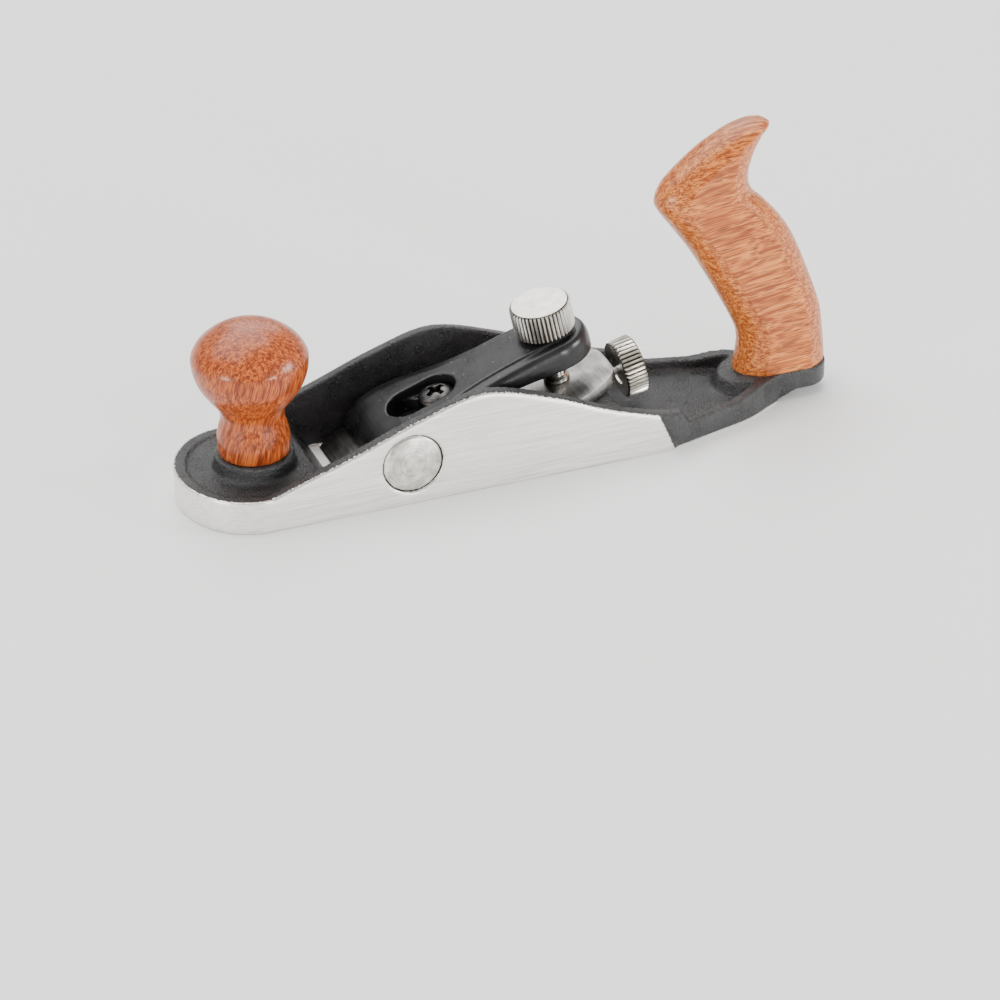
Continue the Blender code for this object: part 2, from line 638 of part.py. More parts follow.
build_body(BED)
build_guide_plugs()
build_knob()
build_tote()
build_blade(PIVOT)
build_lever_cap(BED)
build_hold_down_screw(BED)
build_clamp(BED)
build_adjuster(SWING)
build_carrier(PIVOT)
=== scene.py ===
"""Looks of the small bevel-up bench plane: castings, ground and turned metal, oiled hardwood."""
import json
import math

import bmesh
import bpy
from mathutils import Matrix, Vector


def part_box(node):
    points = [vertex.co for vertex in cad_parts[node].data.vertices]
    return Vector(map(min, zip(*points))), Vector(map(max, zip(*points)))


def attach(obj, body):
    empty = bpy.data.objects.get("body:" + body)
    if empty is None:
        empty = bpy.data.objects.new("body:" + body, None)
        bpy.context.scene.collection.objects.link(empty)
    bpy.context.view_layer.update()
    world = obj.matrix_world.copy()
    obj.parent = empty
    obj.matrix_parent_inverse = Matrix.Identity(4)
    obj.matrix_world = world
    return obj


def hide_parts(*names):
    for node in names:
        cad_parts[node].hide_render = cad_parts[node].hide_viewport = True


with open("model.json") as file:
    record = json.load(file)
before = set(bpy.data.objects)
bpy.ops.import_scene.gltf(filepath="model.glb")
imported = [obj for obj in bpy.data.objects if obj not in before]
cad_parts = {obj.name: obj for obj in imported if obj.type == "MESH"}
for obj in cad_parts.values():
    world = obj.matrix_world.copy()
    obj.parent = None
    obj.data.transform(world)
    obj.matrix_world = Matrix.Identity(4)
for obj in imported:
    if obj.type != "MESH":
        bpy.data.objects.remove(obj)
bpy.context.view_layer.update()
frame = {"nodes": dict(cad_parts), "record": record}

MM = 0.001
MERGE = 0.002 * MM

# Joints give the blade's bed: its slope, and the pivot post that stands in it.
JOINTS = {joint["name"]: joint for joint in frame["record"]["behaviour"]["joints"]}
BED_UP = Vector(JOINTS["cap_release"]["axis"])
BED_OUT = Vector(JOINTS["side_adjust"]["axis"])
POST_S = 32.9 * MM
ROD_HEIGHT = -0.7 * MM
BED_START = Vector(JOINTS["side_adjust"]["pos_m"]) - POST_S * BED_UP - ROD_HEIGHT * BED_OUT
BED = Matrix((
    (BED_UP.x, 0, BED_OUT.x, BED_START.x),
    (0, 1, 0, 0),
    (BED_UP.z, 0, BED_OUT.z, BED_START.z),
    (0, 0, 0, 1)))
ALONG_BED = BED @ Matrix.Translation((0, 0, ROD_HEIGHT)) @ Matrix.Rotation(math.pi / 2, 4, "Y")

BODY_LOW, BODY_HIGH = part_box("plane_body")
TOE = BODY_LOW.x
HEEL = BODY_HIGH.x
HALF_WIDTH = BODY_HIGH.y
CHEEK_TOP = BODY_HIGH.z
TOE_ROUND = 8.9 * MM
TOE_CENTRE = TOE + TOE_ROUND
WALL = 1.52 * MM
INNER_HALF = HALF_WIDTH - WALL
RIM_HEIGHT = 4.6 * MM
DECK_HEIGHT = 4.2 * MM
TRAY_FLOOR = 1.8 * MM
TAIL_START = 19.2 * MM
HEEL_HALF = 3.75 * MM
HEEL_UNDERCUT = 1.3 * MM
HEEL_TOP = 4.2 * MM
HEEL_CONE_X = 34.0 * MM
DECK_END = -27.9 * MM
MOUTH_FRONT = -24.6 * MM
BED_END = 11.9 * MM
TALL = 30.0 * MM

PLUG_LOW, PLUG_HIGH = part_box("guide_plug_left")
PLUG = Vector(((PLUG_LOW.x + PLUG_HIGH.x) / 2, 0, (PLUG_LOW.z + PLUG_HIGH.z) / 2))
PLUG_RADIUS = (PLUG_HIGH.x - PLUG_LOW.x) / 2
PLUG_INNER = -PLUG_HIGH.y
KNOB_LOW, KNOB_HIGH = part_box("front_knob")
KNOB_X = (KNOB_LOW.x + KNOB_HIGH.x) / 2
TOTE_SCREW_X = 40.8 * MM
TOTE_PIN_X = 34.6 * MM
TOTE_PIN_HOLE = 0.95 * MM

# Countersunk screws: level of the head's flat, radius of the head, radius of the shank.
KNOB_SCREW = (0.15 * MM, 2.35 * MM, 1.2 * MM)
TOTE_SCREW = (HEEL_UNDERCUT + 0.1 * MM, 1.95 * MM, 1.0 * MM)

# Places along the bed, measured up its slope from where it meets the sole.
SCREW_S = 15.15 * MM
CLAMP_S = 31.25 * MM
CARRIER_S = 25.9 * MM
KEYHOLE_TRAVEL = 4.0 * MM
RELEASE_S = SCREW_S - KEYHOLE_TRAVEL

# Faces of the cast skins: fine enough for their edges, coarse enough for 200,000 triangles a piece.
CASTING_GRAIN = 0.255 * MM
CAP_GRAIN = 0.13 * MM
SCREW_GRAIN = 0.075 * MM


# ---------------------------------------------------------------- shaping

def arc(centre, radii, start, end, steps):
    """Points of an elliptical arc, angles in degrees."""
    angles = [math.radians(start + (end - start) * step / steps) for step in range(steps + 1)]
    return [(centre[0] + radii[0] * math.cos(a), centre[1] + radii[1] * math.sin(a)) for a in angles]


def smooth(points, steps):
    """A Catmull-Rom curve through the points, with the given steps from each to the next."""
    padded = [points[0], *points, points[-1]]
    curve = []
    for before, here, there, after in zip(padded, padded[1:], padded[2:], padded[3:]):
        for step in range(steps):
            t = step / steps
            curve.append(tuple(
                0.5 * (2 * b + (c - a) * t + (2 * a - 5 * b + 4 * c - d) * t**2
                       + (3 * b - a - 3 * c + d) * t**3)
                for a, b, c, d in zip(before, here, there, after)))
    curve.append(points[-1])
    return curve


def in_mm(points):
    """Points given in millimetres, in metres."""
    return [tuple(value * MM for value in point) for point in points]


def mirrored(half):
    """A half outline with its mirror image across the X axis."""
    return half + [(x, -y) for x, y in reversed(half) if y > MERGE]


def slot_outline(start, end, radius):
    """A slot along X with round ends."""
    steps = 16
    return [*arc((end, 0), (radius, radius), -90, 90, steps),
            *arc((start, 0), (radius, radius), 90, 270, steps)]


def prism(outline, low, high, upright=False):
    """A flat outline extruded along Z, or along Y where the outline stands in XZ."""
    bm = bmesh.new()
    face = bm.faces.new([bm.verts.new((x, y, low)) for x, y in outline])
    grown = bmesh.ops.extrude_face_region(bm, geom=[face])
    top = [item for item in grown["geom"] if isinstance(item, bmesh.types.BMVert)]
    bmesh.ops.translate(bm, vec=(0, 0, high - low), verts=top)
    if upright:
        bmesh.ops.rotate(bm, matrix=Matrix.Rotation(math.pi / 2, 3, "X"), verts=bm.verts)
    bmesh.ops.recalc_face_normals(bm, faces=bm.faces)
    return bm


def lathe(profile, steps=96):
    """A profile of (radius, height) points spun round Z."""
    bm = bmesh.new()
    points = [bm.verts.new((radius, 0, height)) for radius, height in profile]
    chain = [bm.edges.new(pair) for pair in zip(points, points[1:])]
    bmesh.ops.spin(bm, geom=points + chain, axis=(0, 0, 1), cent=(0, 0, 0), angle=math.tau,
                   steps=steps, use_merge=True)
    bmesh.ops.remove_doubles(bm, verts=bm.verts, dist=MERGE)
    bmesh.ops.recalc_face_normals(bm, faces=bm.faces)
    return bm


def thread_profile(radius, depth, pitch, high, low):
    """Crests and roots for a lathe, from the top down."""
    profile = []
    for turn in range(int((high - low) / pitch)):
        top = high - turn * pitch
        profile += [(radius, top), (radius - depth, top - pitch / 2)]
    return profile


def bar(radius, low, high, top_radius=None, segments=48):
    """A round bar or cone that stands on Z."""
    bm = bmesh.new()
    bmesh.ops.create_cone(bm, cap_ends=True, segments=segments, radius1=radius,
                          radius2=radius if top_radius is None else top_radius, depth=high - low,
                          matrix=Matrix.Translation((0, 0, (low + high) / 2)))
    return bm


def block(low, high):
    """A box between two corners."""
    bm = bmesh.new()
    bmesh.ops.create_cube(bm, size=1.0)
    size = Matrix.Diagonal((*(Vector(high) - Vector(low)), 1.0))
    bmesh.ops.transform(bm, matrix=Matrix.Translation((Vector(low) + Vector(high)) / 2) @ size,
                        verts=bm.verts)
    return bm


def moved(bm, matrix):
    bmesh.ops.transform(bm, matrix=matrix, verts=bm.verts)
    return bm


def at(x=0.0, y=0.0, z=0.0):
    return Matrix.Translation((x, y, z))


def blank(bm):
    """An object of the mesh, for a modifier to work on."""
    mesh = bpy.data.meshes.new("blank")
    bm.to_mesh(mesh)
    bm.free()
    holder = bpy.data.objects.new("blank", mesh)
    bpy.context.scene.collection.objects.link(holder)
    return holder


def evaluated(holder, *others):
    """The mesh that the modifiers leave; the objects are used up."""
    bpy.context.view_layer.update()
    bm = bmesh.new()
    bm.from_object(holder, bpy.context.evaluated_depsgraph_get())
    for used in (holder, *others):
        bpy.data.objects.remove(used, do_unlink=True)
    return bm


def combined(bm, operation, *tools):
    """Joins, cuts or crosses a closed mesh with others, which are used up."""
    for tool in tools:
        holder, cutter = blank(bm), blank(tool)
        modifier = holder.modifiers.new("combine", "BOOLEAN")
        modifier.operation = operation
        modifier.solver = "EXACT"
        modifier.object = cutter
        bm = evaluated(holder, cutter)
    return bm


def cast(bm, grain, rounds=2):
    """Softens every edge as a casting's are: an even skin of small faces, then relaxed."""
    holder = blank(bm)
    modifier = holder.modifiers.new("skin", "REMESH")
    modifier.mode = "VOXEL"
    modifier.voxel_size = grain
    bm = evaluated(holder)
    for _ in range(rounds):
        bmesh.ops.smooth_vert(bm, verts=bm.verts, factor=0.5,
                              use_axis_x=True, use_axis_y=True, use_axis_z=True)
    return bm


def round_edges(bm, width, segments=2, angle=30, chosen=None):
    """Rounds the sharp edges, or only those that the test picks."""
    edges = [edge for edge in bm.edges
             if len(edge.link_faces) == 2 and edge.calc_face_angle(0) > math.radians(angle)
             and (chosen is None or chosen(edge))]
    bmesh.ops.bevel(bm, geom=edges, offset=width, offset_type="OFFSET", segments=segments,
                    profile=0.5, affect="EDGES", clamp_overlap=True, material=-1)
    return bm


def piece(name, bm, material, slot, body, *nodes, sharp=40):
    """The finished object: smooth shaded, riding on its body, standing for its CAD nodes."""
    mesh = bpy.data.meshes.new(name)
    bm.to_mesh(mesh)
    bm.free()
    mesh.shade_smooth()
    if sharp:
        mesh.set_sharp_from_angle(angle=math.radians(sharp))
    mesh.materials.append(material)
    item = bpy.data.objects.new(name, mesh)
    bpy.context.scene.collection.objects.link(item)
    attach(item, body)
    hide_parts(*nodes)
    return item


# ---------------------------------------------------------------- casting

def crest_outline():
    """The side view: toe rim, cheeks, step down to the tail rim, heel boss."""
    crest = smooth([(TOE_CENTRE, RIM_HEIGHT), *in_mm([(-31.7, 6.2), (-24.1, 8.7), (-15.3, 12.0)]),
                    (-7.1 * MM, CHEEK_TOP),
                    *in_mm([(2.1, 11.3), (9.4, 8.1), (16.7, 5.7), (20.4, 4.9)])], 6)
    past = HEEL + MM
    return [(TOE - MM, 0), (TOE - MM, RIM_HEIGHT), *crest, (21.3 * MM, 3.3 * MM), (29.0 * MM, 3.3 * MM),
            (33.0 * MM, HEEL_TOP), (past, HEEL_TOP), (past, HEEL_UNDERCUT),
            (39.4 * MM, HEEL_UNDERCUT), (36.2 * MM, 0)]


def plan_outline():
    """The casting from above: round toe, parallel sides, tapering tail, round heel."""
    toe = arc((TOE_CENTRE, 0), (TOE_ROUND, HALF_WIDTH), 180, 90, 32)
    tail = smooth([(TAIL_START + 0.3 * MM, HALF_WIDTH - 0.3 * MM),
                   *in_mm([(24.9, 8.5), (31.1, 6.8), (35.1, 4.7), (37.0, 3.75)])], 6)
    heel = arc((HEEL - HEEL_HALF, 0), (HEEL_HALF, HEEL_HALF), 90, 0, 14)
    return mirrored([*toe, (TAIL_START, HALF_WIDTH), *tail, *heel])


def well():
    """All that is open between the walls: toe recess, ramp, mouth, room over the bed, tray."""
    tail = smooth(in_mm([(18.6, 8.4), (24.6, 7.1), (30.4, 5.3), (34.2, 3.4)]), 6)
    plan = mirrored([*arc((TOE_CENTRE, 0), (TOE_ROUND - WALL, INNER_HALF), 180, 90, 24), *tail])
    bed_top = (BED_END - BED_START.x) * BED_UP.z / BED_UP.x
    floor = [(TOE, DECK_HEIGHT), (DECK_END, DECK_HEIGHT), (MOUTH_FRONT, 0), (MOUTH_FRONT, -MM),
             (BED_START.x, -MM), (BED_START.x, 0), (BED_END, bed_top), (BED_END + 0.4 * MM, TRAY_FLOOR),
             (HEEL, TRAY_FLOOR), (HEEL, TALL), (TOE, TALL)]
    room = combined(prism(plan, -2 * MM, TALL + MM), "INTERSECT", prism(floor, -TALL, TALL, upright=True))
    heel_cone = moved(bar(5.5 * MM, MM, 7 * MM, 2.0 * MM), at(HEEL_CONE_X))
    return combined(room, "DIFFERENCE", heel_cone)


def screw_seat(x, low, head, shank):
    """Cutters for a countersunk screw that comes up from below."""
    hole = shank + 0.1 * MM
    below = low + MM
    cone = bar(head + 0.2 * MM + below, low - below, low + head + 0.1 * MM - shank, hole)
    return moved(bar(hole, -MM, 9 * MM), at(x)), moved(cone, at(x))


def make_casting():
    """Side view crossed with plan, hollowed, drilled, then given a cast skin."""
    sides = prism(crest_outline(), -HALF_WIDTH - 0.01 * MM, HALF_WIDTH + 0.01 * MM, upright=True)
    rim_round = 0.62 * MM
    crest = round_edges(sides, rim_round, 3, 30, lambda edge: all(
        vert.co.z > 2 * MM and TOE < vert.co.x < HEEL for vert in edge.verts)
        and abs(edge.verts[0].co.y - edge.verts[1].co.y) < MM)
    iron = combined(crest, "INTERSECT", prism(plan_outline(), -2 * MM, TALL))
    iron = combined(iron, "DIFFERENCE", well())
    boss = moved(bar(5.55 * MM, MM, 6.3 * MM, 5.1 * MM, 64), at(KNOB_X))
    iron = combined(iron, "UNION", boss)
    dark_line = 0.07 * MM
    plug_holes = [
        moved(bar(PLUG_RADIUS + dark_line, PLUG_INNER - 0.05 * MM, TALL, segments=96),
              Matrix.Translation(PLUG) @ Matrix.Rotation(turn, 4, "X"))
        for turn in (math.pi / 2, -math.pi / 2)]
    channel = block((22.3 * MM, -2.5 * MM, -2.4 * MM), (45 * MM, 2.5 * MM, 2 * MM))
    iron = combined(
        iron, "DIFFERENCE", *plug_holes,
        moved(bar(1.25 * MM, -2.6 * MM, MM), BED @ at(SCREW_S)),
        moved(channel, BED),
        moved(bar(1.6 * MM, -4.3 * MM, MM), BED @ at(POST_S)),
        *screw_seat(KNOB_X, *KNOB_SCREW),
        *screw_seat(TOTE_SCREW_X, *TOTE_SCREW),
        moved(bar(TOTE_PIN_HOLE, 1.9 * MM, 8 * MM), at(TOTE_PIN_X)))
    iron = cast(iron, CASTING_GRAIN)
    piece("casting", iron, CASTING, "casting", "body", "plane_body", sharp=0)


def make_plugs():
    """The two round plugs, with a turned-down edge."""
    face = HALF_WIDTH - 0.06 * MM
    edge = 0.34 * MM
    profile = [(0, face), (PLUG_RADIUS - edge, face), (PLUG_RADIUS - 0.8 * edge, face - 0.15 * edge),
               (PLUG_RADIUS - 0.15 * edge, face - 0.75 * edge), (PLUG_RADIUS, face - edge),
               (PLUG_RADIUS, PLUG_INNER + 0.1 * MM), (PLUG_RADIUS - 0.1 * MM, PLUG_INNER), (0, PLUG_INNER)]
    for name, turn in (("guide_plug_left", 1), ("guide_plug_right", -1)):
        plug = moved(lathe(profile), Matrix.Translation(PLUG) @ Matrix.Rotation(turn * math.pi / 2, 4, "X"))
        piece(name + "_turned", plug, PLUG_STEEL, "bright_steel", "body", name)


# ---------------------------------------------------------------- knob and tote

def make_knob():
    """Mushroom head, waist and foot, bored from below for its insert."""
    outline = smooth(in_mm([
        (0, 17.8), (2.0, 17.62), (4.2, 16.95), (6.2, 15.45), (7.25, 13.9), (7.4, 12.8), (7.15, 11.2),
        (6.5, 9.6), (5.4, 7.95), (4.5, 6.75), (4.1, 5.7), (4.1, 4.75), (4.4, 3.6), (4.65, 2.3),
        (4.62, 0.9)]), 6)
    foot = in_mm([(4.55, 0.15), (4.4, 0.0), (1.95, 0.0), (1.95, 6.5), (0, 6.5)])
    knob = moved(lathe([*outline, *foot], 128), at(KNOB_X, 0, KNOB_LOW.z))
    piece("turned_knob", knob, KNOB_WOOD, "knob_wood", "body", "front_knob")


def tote_section(front_x, front_z, back_x, back_z, half):
    """One section of the tote: flat sides that break into a round front and a round back."""
    steps = 11
    middle = Vector(((front_x + back_x) / 2, 0, (front_z + back_z) / 2))
    span = Vector((back_x - front_x, 0, back_z - front_z))
    reach = span.length / 2
    along = span.normalized()
    turn = math.radians(62)
    nose = min(3.2 * MM, reach * 0.97)
    ring = []
    for side in (1, -1):
        for step in range(steps + 1):
            angle = turn * (2 * step / steps - 1)
            far = reach - nose * (1 - math.cos(angle)) / (1 - math.cos(turn))
            out = half * math.sin(angle) / math.sin(turn)
            ring.append(middle + side * (far * along + Vector((0, out, 0))))
    return ring


def make_tote():
    """Sections from the foot to the tip of the horn, bridged."""
    sections = smooth(in_mm([
        (32.15, 4.25, 44.65, 4.25, 3.35), (31.95, 4.5, 44.88, 4.5, 3.6),
        (32.4, 9.0, 44.4, 9.2, 3.6), (30.6, 13.5, 43.6, 13.3, 3.6),
        (25.9, 21.9, 40.3, 21.7, 3.6), (23.0, 26.2, 38.1, 25.6, 3.6), (20.9, 29.1, 35.6, 28.6, 3.6),
        (20.25, 30.8, 33.6, 30.6, 3.6), (21.5, 33.2, 32.95, 32.8, 3.6), (25.6, 36.8, 33.4, 35.1, 3.5),
        (28.3, 38.4, 34.2, 37.0, 3.3), (30.5, 39.35, 34.9, 38.3, 2.9), (32.7, 39.95, 35.6, 39.0, 2.3),
        (34.4, 40.05, 35.85, 39.55, 1.3)]), 7)
    bm = bmesh.new()
    rings = []
    for section in sections:
        corners = [bm.verts.new(point) for point in tote_section(*section)]
        rings.append([bm.edges.new(pair) for pair in zip(corners, corners[1:] + corners[:1])])
    for lower, upper in zip(rings, rings[1:]):
        bmesh.ops.bridge_loops(bm, edges=lower + upper)
    for ring in (rings[0], rings[-1]):
        bmesh.ops.contextual_create(bm, geom=ring)
    bmesh.ops.recalc_face_normals(bm, faces=bm.faces)
    bm = combined(bm, "DIFFERENCE",
                  moved(bar(1.95 * MM, 3 * MM, 11.2 * MM), at(TOTE_SCREW_X)),
                  moved(bar(TOTE_PIN_HOLE, 3 * MM, 8.3 * MM), at(TOTE_PIN_X)))
    piece("shaped_tote", bm, TOTE_WOOD, "tote_wood", "body", "tote", sharp=14)


def make_countersunk(name, x, low, head, shank, tip, node):
    """A slotted countersunk screw with its head down."""
    cone = head - shank
    threads = thread_profile(shank, 0.12 * MM, 0.45 * MM, tip - 0.3 * MM, low + cone + 0.9 * MM)
    profile = [(0, tip), (shank - 0.25 * MM, tip), *threads, (shank, low + cone + 0.4 * MM),
               (shank, low + cone), (head - 0.05 * MM, low + 0.08 * MM), (head - 0.1 * MM, low), (0, low)]
    screw = lathe(profile, 48)
    slot = 0.25 * MM
    screw = combined(screw, "DIFFERENCE", block((-3 * MM, -slot, -MM), (3 * MM, slot, low + 0.45 * MM)))
    piece(name, moved(screw, at(x)), SCREW_STEEL, "bright_steel", "body", node)


# ---------------------------------------------------------------- blade and lever cap

def make_blade():
    """A flat plate with a round tail, a slot and a ground bevel on top of its edge."""
    low, high = 0.1 * MM, 1.6 * MM
    edge, end = 0.1 * MM, 38.4 * MM
    half = 7.9 * MM
    sides = smooth([(24.4 * MM, half), *in_mm([
        (30.5, 7.1), (33.5, 6.2), (36.0, 5.1), (37.6, 3.8), (38.3, 2.4)]), (end, 0)], 8)
    plate = prism(mirrored([(edge, half), *sides[:-1], (end, 0)]), low, high)
    plate = round_edges(plate, 0.07 * MM, 2, 40,
                        lambda side: side.verts[0].co.x > MM or side.verts[1].co.x > MM)
    rise = math.tan(math.radians(30))
    thin = low + 0.03 * MM
    wedge = [(edge - MM, thin - MM * rise), (edge + 6 * MM, thin + 6 * MM * rise),
             (edge + 6 * MM, thin + 12 * MM), (edge - MM, thin + 12 * MM)]
    release = SCREW_S + 5.35 * MM
    plate = combined(
        plate, "DIFFERENCE", prism(wedge, -TALL, TALL, upright=True),
        prism(slot_outline(SCREW_S - MM, release, 1.6 * MM), -MM, 3 * MM),
        moved(bar(2.9 * MM, -MM, 3 * MM), at(release)),
        moved(bar(MM, -MM, 3 * MM), at(CARRIER_S)))
    piece("ground_blade", moved(plate, BED), BLADE_STEEL, "tool_steel", "blade", "blade", sharp=25)


def inset(outline, distance):
    """A clockwise outline moved inwards all round."""
    ring = []
    for before, here, after in zip(outline[-1:] + outline[:-1], outline, outline[1:] + outline[:1]):
        way = (Vector(after) - Vector(here)).normalized() + (Vector(here) - Vector(before)).normalized()
        way.normalize()
        ring.append((here[0] + way.y * distance, here[1] - way.x * distance))
    return ring


def height_on(profile, s):
    """The height of a side-view profile at one place along the bed."""
    for (start, low), (end, high) in zip(profile, profile[1:]):
        if s <= end:
            return low + (high - low) * max(0, s - start) / (end - start)
    return profile[-1][1]


def make_lever_cap():
    """A waisted cap built up from rings of its plan, then hollowed, slotted and given a cast skin."""
    nose, lip = 3.9 * MM, 1.68 * MM
    pad, past = 9.2 * MM, 40.0 * MM
    sides = smooth([(nose, 7.5 * MM), *in_mm([
        (10.0, 7.6), (13.5, 7.0), (17.5, 5.9), (22.5, 5.25), (27.5, 5.1)])], 12)
    plan = mirrored([*sides, *arc((CLAMP_S, 0), (5.4 * MM, 5.1 * MM), 90, 0, 28)])
    front = smooth(in_mm([(9.0, 6.36), (6.4, 5.55), (4.7, 4.0), (3.95, 2.5)]), 8)
    crest = [*reversed(front), (30.75 * MM, pad), (past, pad)]

    # Drafted sides, a round shoulder, a narrow ledge, and the raised middle: (inset, drop) of each.
    shoulder = in_mm([(0, 2.4), (0.08, 1.7), (0.19, 1.25), (0.33, 0.9), (0.5, 0.65), (0.7, 0.48),
                      (0.92, 0.40), (1.2, 0.36), (1.74, 0.34), (1.86, 0.0)])
    bm = bmesh.new()
    rings = [[bm.verts.new((s, y, 0)) for s, y in plan]]
    for distance, drop in shoulder:
        share = 1 - drop / (pad - lip)
        rings.append([bm.verts.new((s, y, lip + (height_on(crest, s) - lip) * share))
                      for s, y in inset(plan, distance)])
    loops = [[bm.edges.new(pair) for pair in zip(ring, ring[1:] + ring[:1])] for ring in rings]
    for lower, upper in zip(loops, loops[1:]):
        bmesh.ops.bridge_loops(bm, edges=lower + upper)
    bm.faces.new(rings[0])
    top = rings[-1]
    tail = len(top) // 2
    for index in range(tail):
        corners = [top[index], top[index + 1], top[-2 - index], top[-1 - index]]
        bm.faces.new(corners if index < tail - 1 else [corners[0], corners[1], corners[3]])
    bmesh.ops.recalc_face_normals(bm, faces=bm.faces)

    under = smooth(in_mm([(7.6, 2.6), (11.0, 3.3), (18.4, 3.5), (21.5, 4.9), (24.5, 5.5)]), 5)
    hollow = [(0, -MM), (past, -MM), (past, 5.6 * MM), *reversed(under), (5.3 * MM, lip), (0, lip)]
    head = 2.75 * MM
    cap = combined(
        bm, "DIFFERENCE",
        prism(hollow, -TALL, TALL, upright=True),
        prism(slot_outline(RELEASE_S, SCREW_S, head), 5.3 * MM, TALL),
        moved(bar(head, -MM, TALL), at(RELEASE_S)),
        prism(slot_outline(RELEASE_S, SCREW_S, 1.45 * MM), -MM, TALL),
        moved(bar(1.3 * MM, -MM, TALL), at(CLAMP_S)))
    cap = cast(cap, CAP_GRAIN)
    piece("cast_lever_cap", moved(cap, BED), CAP_ENAMEL, "cap_paint", "cap", "lever_cap", sharp=0)


def make_hold_down_screw():
    """A round-head screw with a cross recess, whose head the cap hooks under."""
    radius, shank = 2.5 * MM, 1.2 * MM
    dome = smooth(in_mm([(0, 6.95), (0.9, 6.9), (1.7, 6.68), (2.3, 6.25), (2.5, 5.75)]), 4)
    seat, tip = 5.35 * MM, -2.5 * MM
    screw = lathe([*dome, (radius, seat), (shank, seat), (shank, tip), (0, tip)], 64)
    for turn in (25, 115):
        cross = block((-1.35 * MM, -0.33 * MM, 5.85 * MM), (1.35 * MM, 0.33 * MM, 8 * MM))
        screw = combined(screw, "DIFFERENCE", moved(cross, Matrix.Rotation(math.radians(turn), 4, "Z")))
    hollow = bar(0.1 * MM, 5.6 * MM, 7.25 * MM, 0.9 * MM, 24)
    screw = cast(combined(screw, "DIFFERENCE", hollow), SCREW_GRAIN)
    piece("cross_head_screw", moved(screw, BED @ at(SCREW_S)), SCREW_BLACK, "blackened_steel", "body",
          "hold_down_screw", sharp=0)


def knurled_head(radius, teeth, depth, chamfer, length):
    """A round head with straight teeth, each with a flat crest and a flat root, both rims turned off."""
    bm = bmesh.new()
    points = 6 * teeth
    rings = []
    inner = radius - depth - 0.04 * MM
    levels = [(0, None), (chamfer, depth * 0.4), (1.5 * chamfer, 0), (length - 1.5 * chamfer, 0),
              (length - chamfer, depth * 0.4), (length, None)]
    tooth = (0, 0, 0.6, 1, 1, 0.6)
    for height, lowered in levels:
        ring = bmesh.ops.create_circle(bm, segments=points, radius=1.0)["verts"]
        for index, vert in enumerate(ring):
            here = inner if lowered is None else radius - max(lowered, depth * tooth[index % 6])
            vert.co = Vector((vert.co.x * here, vert.co.y * here, height))
        rings.append([edge for edge in bm.edges if all(vert in ring for vert in edge.verts)])
    for lower, upper in zip(rings, rings[1:]):
        bmesh.ops.bridge_loops(bm, edges=lower + upper)
    for ring in (rings[0], rings[-1]):
        bmesh.ops.contextual_create(bm, geom=ring)
    bmesh.ops.recalc_face_normals(bm, faces=bm.faces)
    return bm


def make_clamp():
    """The knurled clamp screw through the cap's tail, and the foot it turns in."""
    low, high = 9.38 * MM, 13.38 * MM
    foot_top = 3.3 * MM
    shank, tip = 1.25 * MM, 0.85 * MM
    head = moved(knurled_head(4.0 * MM, 44, 0.3 * MM, 0.2 * MM, high - low), at(0, 0, low))
    threads = thread_profile(shank, 0.16 * MM, 0.45 * MM, low, foot_top + 0.3 * MM)
    stem = lathe([(0, low + MM), (shank, low + MM), *threads, (tip, foot_top + 0.2 * MM),
                  (tip, foot_top - 0.7 * MM), (0, foot_top - 0.7 * MM)], 48)
    head = combined(head, "UNION", stem)
    piece("clamp_head", moved(head, BED @ at(CLAMP_S)), CLAMP_NICKEL, "nickel", "clamp_screw", "clamp_knob",
          sharp=28)
    base, cup = 1.68 * MM, 0.9 * MM
    profile = [(cup, foot_top), (1.15 * MM, foot_top), (1.35 * MM, foot_top - 0.15 * MM),
               (1.4 * MM, base + 0.8 * MM), (1.75 * MM, base + 0.45 * MM), (1.75 * MM, base + 0.05 * MM),
               (1.7 * MM, base), (0, base), (0, foot_top - 0.8 * MM), (cup, foot_top - 0.8 * MM),
               (cup, foot_top)]
    piece("clamp_pad", moved(lathe(profile, 64), BED @ at(CLAMP_S)), FOOT_STEEL, "bright_steel", "clamp_foot",
          "clamp_foot")


# ---------------------------------------------------------------- adjuster

